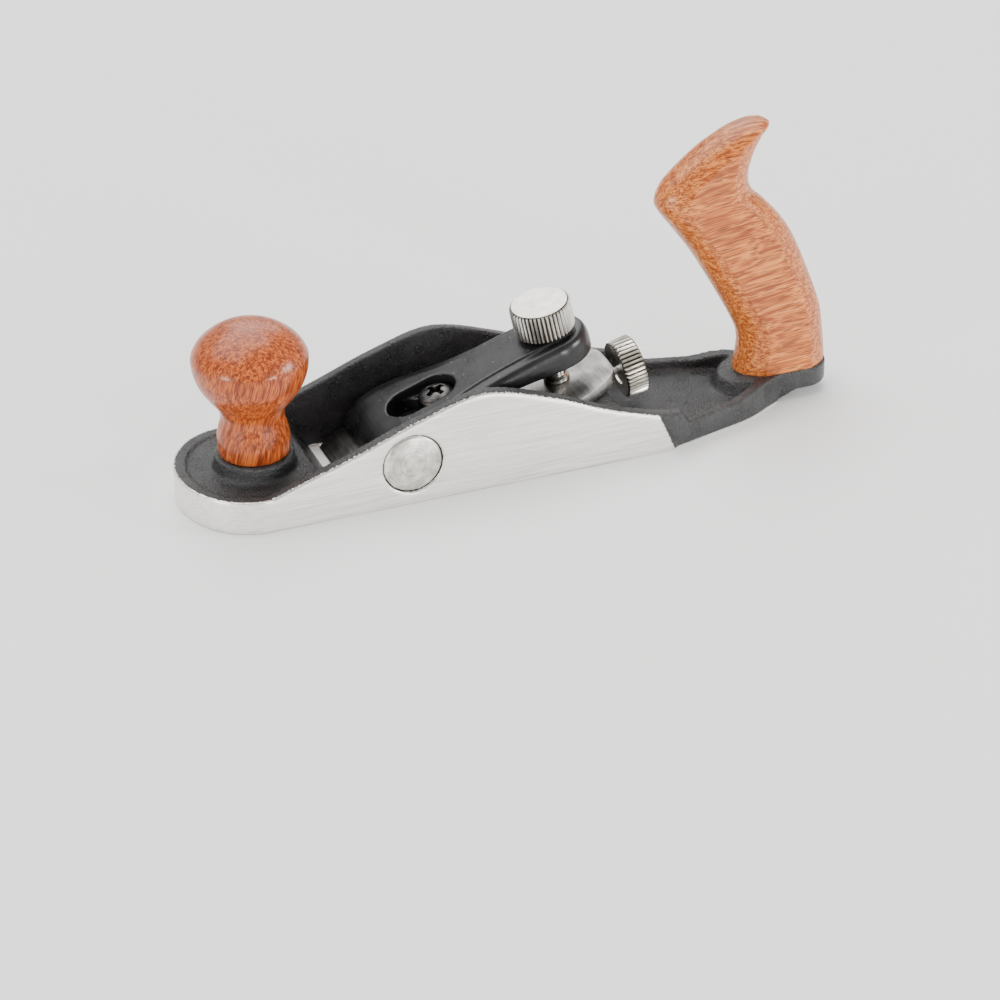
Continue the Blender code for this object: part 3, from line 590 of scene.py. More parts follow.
def make_adjuster():
    """Rod, knurled wheel and collars that turn in the post, and the nut that takes the blade along."""
    bore = 0.6 * MM
    start, end = 23.3 * MM, 42.2 * MM
    radius = 0.55 * MM
    threads = thread_profile(radius, 0.07 * MM, 0.3 * MM, 29.5 * MM, start + 0.2 * MM)
    rod = lathe([(0, end), (radius - 0.1 * MM, end), (radius, end - 0.1 * MM), (radius, 29.6 * MM), *threads,
                 (0.4 * MM, start), (0, start)], 32)
    piece("screw_rod", moved(rod, ALONG_BED), ROD_STEEL, "bright_steel", "adjuster_screw", "adjuster_rod")

    thickness, wheel = 3.0 * MM, 3.95 * MM
    face = 40.9 * MM - thickness / 2
    head = knurled_head(wheel, 40, 0.3 * MM, 0.2 * MM, thickness)
    head = combined(head, "DIFFERENCE", bar(bore, -MM, 5 * MM), bar(2.2 * MM, -MM, 0.25 * MM, 1.9 * MM, 64))
    piece("knurled_wheel", moved(head, ALONG_BED @ at(0, 0, face)), WHEEL_NICKEL, "nickel", "adjuster_screw",
          "adjuster_wheel", sharp=28)

    collar = [(bore, 0), (0.7 * MM, 0), (0.75 * MM, 0.05 * MM), (0.75 * MM, 0.55 * MM), (0.7 * MM, 0.6 * MM),
              (bore, 0.6 * MM), (bore, 0)]
    for name, place in (("rod_collar_front", POST_S - 2.2 * MM), ("rod_collar_rear", POST_S + 1.6 * MM)):
        piece(name + "_turned", moved(lathe(collar, 32), ALONG_BED @ at(0, 0, place)), SCREW_BLACK,
              "blackened_steel", "adjuster_screw", name)

    top, bottom = 0.0, -4.2 * MM
    wide = 1.5 * MM
    post = lathe([(0, top), (wide - 0.15 * MM, top), (wide, top - 0.1 * MM), (wide, bottom + 0.3 * MM),
                  (wide - 0.3 * MM, bottom), (0, bottom)], 48)
    across = at(0, 0, ROD_HEIGHT) @ Matrix.Rotation(math.pi / 2, 4, "Y")
    post = combined(post, "DIFFERENCE", moved(bar(bore, -5 * MM, 5 * MM, segments=24), across))
    piece("pivot_post", moved(post, BED @ at(POST_S)), BRASS, "brass", "swivel", "adjuster_post")

    carrier = round_edges(block((-1.6 * MM, -1.7 * MM, -2.1 * MM), (1.6 * MM, 1.7 * MM, 0)), 0.15 * MM, 3)
    pin = lathe([(0, 1.5 * MM), (0.75 * MM, 1.5 * MM), (0.9 * MM, 1.35 * MM), (0.9 * MM, -0.1 * MM),
                 (0, -0.1 * MM)], 32)
    carrier = combined(carrier, "UNION", pin)
    carrier = combined(carrier, "DIFFERENCE", moved(bar(bore, -5 * MM, 5 * MM, segments=24), across))
    piece("threaded_carrier", moved(carrier, BED @ at(CARRIER_S)), BRASS, "brass", "carrier", "blade_carrier")


# ---------------------------------------------------------------- materials

def lay_out(nodes):
    """Rows of eight, so that every node can be seen."""
    for index, node in enumerate(nodes):
        node.location = (220 * (index % 8) - 1800, 300 - 320 * (index // 8))


def painted_casting(name):
    """Black enamel over rough iron, with the sides, the toe and the sole ground bright."""
    material = bpy.data.materials.new(name)
    material.use_nodes = True
    nodes, links = material.node_tree.nodes, material.node_tree.links
    shader = nodes["Principled BSDF"]
    shader.inputs["Specular IOR Level"].default_value = 0.55
    where = nodes.new("ShaderNodeTexCoord")
    where.label = "Place on the casting"
    split = nodes.new("ShaderNodeSeparateXYZ")
    split.label = "Length, width, height"
    links.new(where.outputs["Object"], split.inputs["Vector"])

    mask_frame = nodes.new("NodeFrame")
    mask_frame.label = "Where the iron is ground"
    ahead = nodes.new("ShaderNodeMath")
    ahead.label = "Ahead of the toe's centre"
    ahead.operation = "SUBTRACT"
    ahead.inputs[1].default_value = TOE_CENTRE
    links.new(split.outputs["X"], ahead.inputs[0])
    toe_only = nodes.new("ShaderNodeMath")
    toe_only.label = "Nothing behind it"
    toe_only.operation = "MINIMUM"
    toe_only.inputs[1].default_value = 0.0
    links.new(ahead.outputs["Value"], toe_only.inputs[0])
    toe_share = nodes.new("ShaderNodeMath")
    toe_share.label = "Share of the toe's length"
    toe_share.operation = "DIVIDE"
    toe_share.inputs[1].default_value = TOE_ROUND
    links.new(toe_only.outputs["Value"], toe_share.inputs[0])
    side_share = nodes.new("ShaderNodeMath")
    side_share.label = "Share of the half width"
    side_share.operation = "DIVIDE"
    side_share.inputs[1].default_value = HALF_WIDTH
    links.new(split.outputs["Y"], side_share.inputs[0])
    pair = nodes.new("ShaderNodeCombineXYZ")
    pair.label = "Out from the middle"
    links.new(toe_share.outputs["Value"], pair.inputs["X"])
    links.new(side_share.outputs["Value"], pair.inputs["Y"])
    outward = nodes.new("ShaderNodeVectorMath")
    outward.label = "1 at the outer wall"
    outward.operation = "LENGTH"
    links.new(pair.outputs["Vector"], outward.inputs[0])
    ragged = nodes.new("ShaderNodeTexNoise")
    ragged.label = "Ragged edge of the enamel"
    ragged.inputs["Scale"].default_value = 3600
    ragged.inputs["Detail"].default_value = 5
    ragged.inputs["Roughness"].default_value = 0.65
    links.new(where.outputs["Object"], ragged.inputs["Vector"])
    frayed = nodes.new("ShaderNodeMath")
    frayed.label = "Fray the wall's edge"
    frayed.operation = "MULTIPLY_ADD"
    frayed.inputs[1].default_value = 0.08
    links.new(ragged.outputs["Fac"], frayed.inputs[0])
    links.new(outward.outputs["Value"], frayed.inputs[2])
    wall = nodes.new("ShaderNodeMapRange")
    wall.label = "Ground wall"
    wall.inputs["From Min"].default_value = 1.012
    wall.inputs["From Max"].default_value = 1.015
    links.new(frayed.outputs["Value"], wall.inputs["Value"])
    lean = nodes.new("ShaderNodeMath")
    lean.label = "The grinding's end leans forward"
    lean.operation = "MULTIPLY_ADD"
    lean.inputs[1].default_value = 0.43
    links.new(split.outputs["Z"], lean.inputs[0])
    links.new(split.outputs["X"], lean.inputs[2])
    shaky = nodes.new("ShaderNodeMath")
    shaky.label = "And is ragged"
    shaky.operation = "MULTIPLY_ADD"
    shaky.inputs[1].default_value = 0.9 * MM
    links.new(ragged.outputs["Fac"], shaky.inputs[0])
    links.new(lean.outputs["Value"], shaky.inputs[2])
    stop = nodes.new("ShaderNodeMapRange")
    stop.label = "Ahead of the tail"
    stop.inputs["From Min"].default_value = TAIL_START + 0.42 * MM
    stop.inputs["From Max"].default_value = TAIL_START + 0.36 * MM
    links.new(shaky.outputs["Value"], stop.inputs["Value"])
    sides = nodes.new("ShaderNodeMath")
    sides.label = "Ground sides"
    sides.operation = "MULTIPLY"
    links.new(wall.outputs["Result"], sides.inputs[0])
    links.new(stop.outputs["Result"], sides.inputs[1])
    sole = nodes.new("ShaderNodeMapRange")
    sole.label = "Ground sole"
    sole.inputs["From Min"].default_value = 0.34 * MM
    sole.inputs["From Max"].default_value = 0.28 * MM
    links.new(split.outputs["Z"], sole.inputs["Value"])
    ground = nodes.new("ShaderNodeMath")
    ground.label = "Bare iron"
    ground.operation = "MAXIMUM"
    links.new(sides.outputs["Value"], ground.inputs[0])
    links.new(sole.outputs["Result"], ground.inputs[1])
    for node in (ahead, toe_only, toe_share, side_share, pair, outward, ragged, frayed, wall, lean, shaky,
                 stop, sides, sole, ground):
        node.parent = mask_frame

    colour_frame = nodes.new("NodeFrame")
    colour_frame.label = "Colour and gloss"
    patches = nodes.new("ShaderNodeTexNoise")
    patches.label = "Uneven enamel"
    patches.inputs["Scale"].default_value = 420
    patches.inputs["Detail"].default_value = 6
    links.new(where.outputs["Object"], patches.inputs["Vector"])
    enamel = nodes.new("ShaderNodeValToRGB")
    enamel.label = "Black enamel"
    enamel.color_ramp.elements[0].color = (0.013, 0.013, 0.0135, 1)
    enamel.color_ramp.elements[0].position = 0.35
    enamel.color_ramp.elements[1].color = (0.036, 0.036, 0.037, 1)
    enamel.color_ramp.elements[1].position = 0.72
    links.new(patches.outputs["Fac"], enamel.inputs["Fac"])
    brushing = nodes.new("ShaderNodeMapping")
    brushing.label = "Stretched along the plane"
    brushing.inputs["Scale"].default_value = (120, 2500, 6000)
    links.new(where.outputs["Object"], brushing.inputs["Vector"])
    strokes = nodes.new("ShaderNodeTexNoise")
    strokes.label = "Grinding marks"
    strokes.inputs["Scale"].default_value = 1.0
    strokes.inputs["Detail"].default_value = 3
    strokes.inputs["Roughness"].default_value = 0.7
    links.new(brushing.outputs["Vector"], strokes.inputs["Vector"])
    iron = nodes.new("ShaderNodeValToRGB")
    iron.label = "Ground iron"
    iron.color_ramp.elements[0].color = (0.66, 0.645, 0.61, 1)
    iron.color_ramp.elements[0].position = 0.3
    iron.color_ramp.elements[1].color = (0.95, 0.93, 0.89, 1)
    iron.color_ramp.elements[1].position = 0.65
    links.new(strokes.outputs["Fac"], iron.inputs["Fac"])
    colour = nodes.new("ShaderNodeMix")
    colour.label = "Enamel or iron"
    colour.data_type = "RGBA"
    links.new(ground.outputs["Value"], colour.inputs["Factor"])
    links.new(enamel.outputs["Color"], colour.inputs["A"])
    links.new(iron.outputs["Color"], colour.inputs["B"])
    links.new(colour.outputs["Result"], shader.inputs["Base Color"])
    links.new(ground.outputs["Value"], shader.inputs["Metallic"])
    enamel_gloss = nodes.new("ShaderNodeMapRange")
    enamel_gloss.label = "Satin, in places dull"
    enamel_gloss.inputs["To Min"].default_value = 0.20
    enamel_gloss.inputs["To Max"].default_value = 0.38
    links.new(patches.outputs["Fac"], enamel_gloss.inputs["Value"])
    iron_gloss = nodes.new("ShaderNodeMapRange")
    iron_gloss.label = "Brushed gloss"
    iron_gloss.inputs["To Min"].default_value = 0.30
    iron_gloss.inputs["To Max"].default_value = 0.46
    links.new(strokes.outputs["Fac"], iron_gloss.inputs["Value"])
    gloss = nodes.new("ShaderNodeMix")
    gloss.label = "Gloss of either"
    gloss.data_type = "FLOAT"
    links.new(ground.outputs["Value"], gloss.inputs["Factor"])
    links.new(enamel_gloss.outputs["Result"], gloss.inputs["A"])
    links.new(iron_gloss.outputs["Result"], gloss.inputs["B"])
    links.new(gloss.outputs["Result"], shader.inputs["Roughness"])
    for node in (patches, enamel, brushing, strokes, iron, colour, enamel_gloss, iron_gloss, gloss):
        node.parent = colour_frame

    relief_frame = nodes.new("NodeFrame")
    relief_frame.label = "Relief"
    pebbles = nodes.new("ShaderNodeTexNoise")
    pebbles.label = "Sand-cast skin"
    pebbles.inputs["Scale"].default_value = 2900
    pebbles.inputs["Detail"].default_value = 4
    pebbles.inputs["Roughness"].default_value = 0.6
    links.new(where.outputs["Object"], pebbles.inputs["Vector"])
    scratches = nodes.new("ShaderNodeMath")
    scratches.label = "Shallow grinding marks"
    scratches.operation = "MULTIPLY"
    scratches.inputs[1].default_value = 0.14
    links.new(strokes.outputs["Fac"], scratches.inputs[0])
    height = nodes.new("ShaderNodeMix")
    height.label = "Height of either"
    height.data_type = "FLOAT"
    links.new(ground.outputs["Value"], height.inputs["Factor"])
    links.new(pebbles.outputs["Fac"], height.inputs["A"])
    links.new(scratches.outputs["Value"], height.inputs["B"])
    relief = nodes.new("ShaderNodeBump")
    relief.label = "Surface relief"
    relief.inputs["Strength"].default_value = 1.0
    relief.inputs["Distance"].default_value = 0.26 * MM
    links.new(height.outputs["Result"], relief.inputs["Height"])
    links.new(relief.outputs["Normal"], shader.inputs["Normal"])
    for node in (pebbles, scratches, height, relief):
        node.parent = relief_frame
    lay_out([node for node in nodes if node.type != "FRAME"])
    return material


def satin_enamel(name):
    """Smoother black enamel, with a few pin-holes and specks."""
    material = bpy.data.materials.new(name)
    material.use_nodes = True
    nodes, links = material.node_tree.nodes, material.node_tree.links
    shader = nodes["Principled BSDF"]
    shader.inputs["Specular IOR Level"].default_value = 0.4
    where = nodes.new("ShaderNodeTexCoord")
    where.label = "Place on the cap"
    clouds = nodes.new("ShaderNodeTexNoise")
    clouds.label = "Uneven enamel"
    clouds.inputs["Scale"].default_value = 350
    clouds.inputs["Detail"].default_value = 6
    links.new(where.outputs["Object"], clouds.inputs["Vector"])
    black = nodes.new("ShaderNodeValToRGB")
    black.label = "Black enamel"
    black.color_ramp.elements[0].color = (0.006, 0.006, 0.0065, 1)
    black.color_ramp.elements[0].position = 0.35
    black.color_ramp.elements[1].color = (0.015, 0.015, 0.016, 1)
    black.color_ramp.elements[1].position = 0.7
    links.new(clouds.outputs["Fac"], black.inputs["Fac"])
    specks = nodes.new("ShaderNodeTexVoronoi")
    specks.label = "Specks"
    specks.inputs["Scale"].default_value = 620
    links.new(where.outputs["Object"], specks.inputs["Vector"])
    few = nodes.new("ShaderNodeMapRange")
    few.label = "Only their hearts"
    few.inputs["From Min"].default_value = 0.085
    few.inputs["From Max"].default_value = 0.05
    links.new(specks.outputs["Distance"], few.inputs["Value"])
    colour = nodes.new("ShaderNodeMix")
    colour.label = "Specks in the enamel"
    colour.data_type = "RGBA"
    colour.inputs["B"].default_value = (0.16, 0.16, 0.16, 1)
    links.new(few.outputs["Result"], colour.inputs["Factor"])
    links.new(black.outputs["Color"], colour.inputs["A"])
    links.new(colour.outputs["Result"], shader.inputs["Base Color"])
    gloss = nodes.new("ShaderNodeMapRange")
    gloss.label = "Satin gloss"
    gloss.inputs["To Min"].default_value = 0.20
    gloss.inputs["To Max"].default_value = 0.38
    links.new(clouds.outputs["Fac"], gloss.inputs["Value"])
    links.new(gloss.outputs["Result"], shader.inputs["Roughness"])
    skin = nodes.new("ShaderNodeTexNoise")
    skin.label = "Skin of the paint"
    skin.inputs["Scale"].default_value = 1900
    skin.inputs["Detail"].default_value = 3
    links.new(where.outputs["Object"], skin.inputs["Vector"])
    relief = nodes.new("ShaderNodeBump")
    relief.label = "Surface relief"
    relief.inputs["Strength"].default_value = 0.22
    relief.inputs["Distance"].default_value = 0.07 * MM
    links.new(skin.outputs["Fac"], relief.inputs["Height"])
    links.new(relief.outputs["Normal"], shader.inputs["Normal"])
    frames = {"Colour": (clouds, black, specks, few, colour), "Gloss and relief": (gloss, skin, relief)}
    for label, members in frames.items():
        group = nodes.new("NodeFrame")
        group.label = label
        for node in members:
            node.parent = group
    lay_out([node for node in nodes if node.type != "FRAME"])
    return material


def ground_steel(name, dark, light, gloss_range, stretch, slope):
    """Surface-ground flat steel: marks across the plate, faint stains."""
    material = bpy.data.materials.new(name)
    material.use_nodes = True
    nodes, links = material.node_tree.nodes, material.node_tree.links
    shader = nodes["Principled BSDF"]
    shader.inputs["Metallic"].default_value = 1.0
    where = nodes.new("ShaderNodeTexCoord")
    where.label = "Place on the plate"
    level = nodes.new("ShaderNodeMapping")
    level.label = "Turned level with the plate"
    level.inputs["Rotation"].default_value = (0, slope, 0)
    level.inputs["Scale"].default_value = stretch
    links.new(where.outputs["Object"], level.inputs["Vector"])
    marks = nodes.new("ShaderNodeTexNoise")
    marks.label = "Grinding marks"
    marks.inputs["Scale"].default_value = 1.0
    marks.inputs["Detail"].default_value = 5
    marks.inputs["Roughness"].default_value = 0.7
    links.new(level.outputs["Vector"], marks.inputs["Vector"])
    stains = nodes.new("ShaderNodeTexNoise")
    stains.label = "Handling stains"
    stains.inputs["Scale"].default_value = 260
    stains.inputs["Detail"].default_value = 4
    links.new(where.outputs["Object"], stains.inputs["Vector"])
    both = nodes.new("ShaderNodeMath")
    both.label = "Marks and stains"
    both.operation = "MULTIPLY_ADD"
    both.inputs[1].default_value = 0.45
    links.new(marks.outputs["Fac"], both.inputs[0])
    links.new(stains.outputs["Fac"], both.inputs[2])
    steel = nodes.new("ShaderNodeValToRGB")
    steel.label = "Steel"
    steel.color_ramp.elements[0].color = (*dark, 1)
    steel.color_ramp.elements[0].position = 0.55
    steel.color_ramp.elements[1].color = (*light, 1)
    steel.color_ramp.elements[1].position = 0.85
    links.new(both.outputs["Value"], steel.inputs["Fac"])
    links.new(steel.outputs["Color"], shader.inputs["Base Color"])
    gloss = nodes.new("ShaderNodeMapRange")
    gloss.label = "Brushed gloss"
    gloss.inputs["To Min"].default_value = gloss_range[0]
    gloss.inputs["To Max"].default_value = gloss_range[1]
    links.new(marks.outputs["Fac"], gloss.inputs["Value"])
    links.new(gloss.outputs["Result"], shader.inputs["Roughness"])
    relief = nodes.new("ShaderNodeBump")
    relief.label = "Depth of the marks"
    relief.inputs["Strength"].default_value = 0.25
    relief.inputs["Distance"].default_value = 0.02 * MM
    links.new(marks.outputs["Fac"], relief.inputs["Height"])
    links.new(relief.outputs["Normal"], shader.inputs["Normal"])
    frames = {"Marks": (level, marks, stains, both), "Finish": (steel, gloss, relief)}
    for label, members in frames.items():
        group = nodes.new("NodeFrame")
        group.label = label
        for node in members:
            node.parent = group
    lay_out([node for node in nodes if node.type != "FRAME"])
    return material


def turned_metal(name, dark, light, gloss_range, centre, tilt, rings=9000.0, root=None):
    """Metal off the lathe: fine rings about its axis, stains, and a darkening about the root of a knurl that
    is partly dirt and partly painted shade.
    """
    material = bpy.data.materials.new(name)
    material.use_nodes = True
    nodes, links = material.node_tree.nodes, material.node_tree.links
    shader = nodes["Principled BSDF"]
    shader.inputs["Metallic"].default_value = 1.0
    where = nodes.new("ShaderNodeTexCoord")
    where.label = "Place on the piece"
    centred = nodes.new("ShaderNodeMapping")
    centred.label = "Measured from the axis"
    centred.vector_type = "TEXTURE"
    centred.inputs["Location"].default_value = centre
    centred.inputs["Rotation"].default_value = tilt
    links.new(where.outputs["Object"], centred.inputs["Vector"])
    flat = nodes.new("ShaderNodeVectorMath")
    flat.label = "Square to the axis"
    flat.operation = "MULTIPLY"
    flat.inputs[1].default_value = (1, 1, 0)
    links.new(centred.outputs["Vector"], flat.inputs[0])
    radius = nodes.new("ShaderNodeVectorMath")
    radius.label = "Distance from the axis"
    radius.operation = "LENGTH"
    links.new(flat.outputs["Vector"], radius.inputs[0])
    lines = nodes.new("ShaderNodeTexNoise")
    lines.label = "Turning rings"
    lines.noise_dimensions = "1D"
    lines.inputs["Scale"].default_value = rings
    lines.inputs["Detail"].default_value = 3
    links.new(radius.outputs["Value"], lines.inputs["W"])
    stains = nodes.new("ShaderNodeTexNoise")
    stains.label = "Handling stains"
    stains.inputs["Scale"].default_value = 700
    stains.inputs["Detail"].default_value = 5
    links.new(where.outputs["Object"], stains.inputs["Vector"])
    both = nodes.new("ShaderNodeMath")
    both.label = "Rings and stains"
    both.operation = "MULTIPLY_ADD"
    both.inputs[1].default_value = 0.45
    links.new(lines.outputs["Fac"], both.inputs[0])
    links.new(stains.outputs["Fac"], both.inputs[2])
    metal = nodes.new("ShaderNodeValToRGB")
    metal.label = "Metal"
    metal.color_ramp.elements[0].color = (*dark, 1)
    metal.color_ramp.elements[0].position = 0.55
    metal.color_ramp.elements[1].color = (*light, 1)
    metal.color_ramp.elements[1].position = 0.88
    links.new(both.outputs["Value"], metal.inputs["Fac"])
    finish = metal.outputs["Color"]
    members = [metal]
    if root is not None:
        deep = nodes.new("ShaderNodeMapRange")
        deep.label = "Crest of the knurl"
        deep.inputs["From Min"].default_value = root - 0.02 * MM
        deep.inputs["From Max"].default_value = root + 0.14 * MM
        links.new(radius.outputs["Value"], deep.inputs["Value"])
        face = nodes.new("ShaderNodeMapRange")
        face.label = "Inside the knurl"
        face.inputs["From Min"].default_value = root - 0.06 * MM
        face.inputs["From Max"].default_value = root - 0.10 * MM
        links.new(radius.outputs["Value"], face.inputs["Value"])
        clean_and_unshaded = nodes.new("ShaderNodeMath")
        clean_and_unshaded.label = "Crests and faces are clean"
        clean_and_unshaded.operation = "MAXIMUM"
        links.new(deep.outputs["Result"], clean_and_unshaded.inputs[0])
        links.new(face.outputs["Result"], clean_and_unshaded.inputs[1])
        # Dark brown in the knurl's grooves: partly dirt, partly painted shade where light does not reach
        # between the teeth.
        dirt_and_painted_shade = nodes.new("ShaderNodeMix")
        dirt_and_painted_shade.label = "Dirt and painted shade between the teeth"
        dirt_and_painted_shade.data_type = "RGBA"
        dirt_and_painted_shade.inputs["A"].default_value = (0.045, 0.038, 0.03, 1)
        links.new(clean_and_unshaded.outputs["Value"], dirt_and_painted_shade.inputs["Factor"])
        links.new(finish, dirt_and_painted_shade.inputs["B"])
        finish = dirt_and_painted_shade.outputs["Result"]
        members += [deep, face, clean_and_unshaded, dirt_and_painted_shade]
    links.new(finish, shader.inputs["Base Color"])
    gloss = nodes.new("ShaderNodeMapRange")
    gloss.label = "Gloss"
    gloss.inputs["To Min"].default_value = gloss_range[0]
    gloss.inputs["To Max"].default_value = gloss_range[1]
    links.new(both.outputs["Value"], gloss.inputs["Value"])
    links.new(gloss.outputs["Result"], shader.inputs["Roughness"])
    relief = nodes.new("ShaderNodeBump")
    relief.label = "Depth of the rings"
    relief.inputs["Strength"].default_value = 0.2
    relief.inputs["Distance"].default_value = 0.02 * MM
    links.new(both.outputs["Value"], relief.inputs["Height"])
    links.new(relief.outputs["Normal"], shader.inputs["Normal"])
    frames = {"Turning": (centred, flat, radius, lines, stains, both), "Finish": (*members, gloss, relief)}
    for label, inside in frames.items():
        group = nodes.new("NodeFrame")
        group.label = label
        for node in inside:
            node.parent = group
    lay_out([node for node in nodes if node.type != "FRAME"])
    return material


def oiled_wood(name, turn, shift, shades, pore_strength):
    """Reddish hardwood with short dark pores: X is along the grain once turned."""
    material = bpy.data.materials.new(name)
    material.use_nodes = True
    nodes, links = material.node_tree.nodes, material.node_tree.links
    shader = nodes["Principled BSDF"]
    shader.inputs["Specular IOR Level"].default_value = 0.25
    shader.inputs["Coat Weight"].default_value = 0.3
    shader.inputs["Coat Roughness"].default_value = 0.17
    where = nodes.new("ShaderNodeTexCoord")
    where.label = "Place in the plank"
    grain = nodes.new("ShaderNodeMapping")
    grain.label = "Turned along the grain"
    grain.inputs["Location"].default_value = shift
    grain.inputs["Rotation"].default_value = turn
    links.new(where.outputs["Object"], grain.inputs["Vector"])

    wavy = nodes.new("ShaderNodeTexNoise")
    wavy.label = "Slow wander of the grain"
    wavy.inputs["Scale"].default_value = 90
    wavy.inputs["Detail"].default_value = 2
    links.new(grain.outputs["Vector"], wavy.inputs["Vector"])
    bend = nodes.new("ShaderNodeVectorMath")
    bend.label = "Bend the grain"
    bend.operation = "MULTIPLY_ADD"
    bend.inputs[1].default_value = (0.0, 1.2 * MM, 1.2 * MM)
    links.new(wavy.outputs["Color"], bend.inputs[0])
    links.new(grain.outputs["Vector"], bend.inputs[2])

    band_scale = nodes.new("ShaderNodeMapping")
    band_scale.label = "Long growth bands"
    band_scale.inputs["Scale"].default_value = (45, 2500, 2100)
    links.new(bend.outputs["Vector"], band_scale.inputs["Vector"])
    bands = nodes.new("ShaderNodeTexNoise")
    bands.label = "Growth bands"
    bands.inputs["Scale"].default_value = 1.0
    bands.inputs["Detail"].default_value = 2
    bands.inputs["Roughness"].default_value = 0.6
    links.new(band_scale.outputs["Vector"], bands.inputs["Vector"])
    fibre_scale = nodes.new("ShaderNodeMapping")
    fibre_scale.label = "Thin fibres"
    fibre_scale.inputs["Scale"].default_value = (130, 6500, 6500)
    links.new(bend.outputs["Vector"], fibre_scale.inputs["Vector"])
    fibres = nodes.new("ShaderNodeTexNoise")
    fibres.label = "Fibres"
    fibres.inputs["Scale"].default_value = 1.0
    fibres.inputs["Detail"].default_value = 1
    links.new(fibre_scale.outputs["Vector"], fibres.inputs["Vector"])
    figure = nodes.new("ShaderNodeMath")
    figure.label = "Bands and fibres"
    figure.operation = "MULTIPLY_ADD"
    figure.inputs[1].default_value = 0.6
    links.new(fibres.outputs["Fac"], figure.inputs[0])
    links.new(bands.outputs["Fac"], figure.inputs[2])
    tone = nodes.new("ShaderNodeValToRGB")
    tone.label = "Heartwood"
    ramp = tone.color_ramp
    ramp.elements[0].position = 0.64
    ramp.elements[0].color = (*shades[0], 1)
    ramp.elements[1].position = 0.98
    ramp.elements[1].color = (*shades[2], 1)
    middle = ramp.elements.new(0.80)
    middle.color = (*shades[1], 1)
    links.new(figure.outputs["Value"], tone.inputs["Fac"])

    pore_scale = nodes.new("ShaderNodeMapping")
    pore_scale.label = "Short pores"
    pore_scale.inputs["Scale"].default_value = (240, 4600, 4600)
    links.new(bend.outputs["Vector"], pore_scale.inputs["Vector"])
    pores = nodes.new("ShaderNodeTexVoronoi")
    pores.label = "Pores"
    pores.inputs["Scale"].default_value = 1.0
    pores.inputs["Randomness"].default_value = 1.0
    links.new(pore_scale.outputs["Vector"], pores.inputs["Vector"])
    dark = nodes.new("ShaderNodeMapRange")
    dark.label = "Heart of each pore"
    dark.inputs["From Min"].default_value = 0.36
    dark.inputs["From Max"].default_value = 0.22
    dark.inputs["To Max"].default_value = pore_strength
    links.new(pores.outputs["Distance"], dark.inputs["Value"])
    patchy = nodes.new("ShaderNodeMath")
    patchy.label = "More pores in the dark bands"
    patchy.operation = "GREATER_THAN"
    patchy.inputs[1].default_value = 0.44
    links.new(bands.outputs["Fac"], patchy.inputs[0])
    sparse = nodes.new("ShaderNodeMath")
    sparse.label = "Fewer in the light ones"
    sparse.operation = "MULTIPLY"
    links.new(dark.outputs["Result"], sparse.inputs[0])
    links.new(patchy.outputs["Value"], sparse.inputs[1])
    colour = nodes.new("ShaderNodeMix")
    colour.label = "Wood with pores"
    colour.data_type = "RGBA"
    colour.inputs["B"].default_value = (0.09, 0.022, 0.010, 1)
    links.new(sparse.outputs["Value"], colour.inputs["Factor"])
    links.new(tone.outputs["Color"], colour.inputs["A"])
    links.new(colour.outputs["Result"], shader.inputs["Base Color"])

    gloss = nodes.new("ShaderNodeMapRange")
    gloss.label = "Oiled gloss"
    gloss.inputs["To Min"].default_value = 0.26
    gloss.inputs["To Max"].default_value = 0.46
    links.new(fibres.outputs["Fac"], gloss.inputs["Value"])
    links.new(gloss.outputs["Result"], shader.inputs["Roughness"])
    sunk = nodes.new("ShaderNodeMath")
    sunk.label = "Pores are sunk"
    sunk.operation = "MULTIPLY_ADD"
    sunk.inputs[1].default_value = -1.2
    links.new(sparse.outputs["Value"], sunk.inputs[0])
    links.new(fibres.outputs["Fac"], sunk.inputs[2])
    relief = nodes.new("ShaderNodeBump")
    relief.label = "Grain relief"
    relief.inputs["Strength"].default_value = 0.22
    relief.inputs["Distance"].default_value = 0.04 * MM
    links.new(sunk.outputs["Value"], relief.inputs["Height"])
    links.new(relief.outputs["Normal"], shader.inputs["Normal"])
    frames = {
        "Grain": (grain, wavy, bend, band_scale, bands, fibre_scale, fibres, figure, tone),
        "Pores": (pore_scale, pores, dark, patchy, sparse, colour),
        "Finish": (gloss, sunk, relief)}
    for label, members in frames.items():
        group = nodes.new("NodeFrame")
        group.label = label
        for node in members:
            node.parent = group
    lay_out([node for node in nodes if node.type != "FRAME"])
    return material


def pale_floor(name):
    """Plain matt white."""
    material = bpy.data.materials.new(name)
    material.use_nodes = True
    shader = material.node_tree.nodes["Principled BSDF"]
    shader.inputs["Base Color"].default_value = (0.93, 0.93, 0.925, 1)
    shader.inputs["Roughness"].default_value = 0.7
    return material


# Turns for the patterns: square to the bed, across the plane, and along the rod.
TILT = (0, -math.atan2(BED_UP.z, BED_UP.x), 0)
ACROSS = (math.pi / 2, 0, 0)
ALONG_ROD = (0, math.pi / 2 + TILT[1], 0)

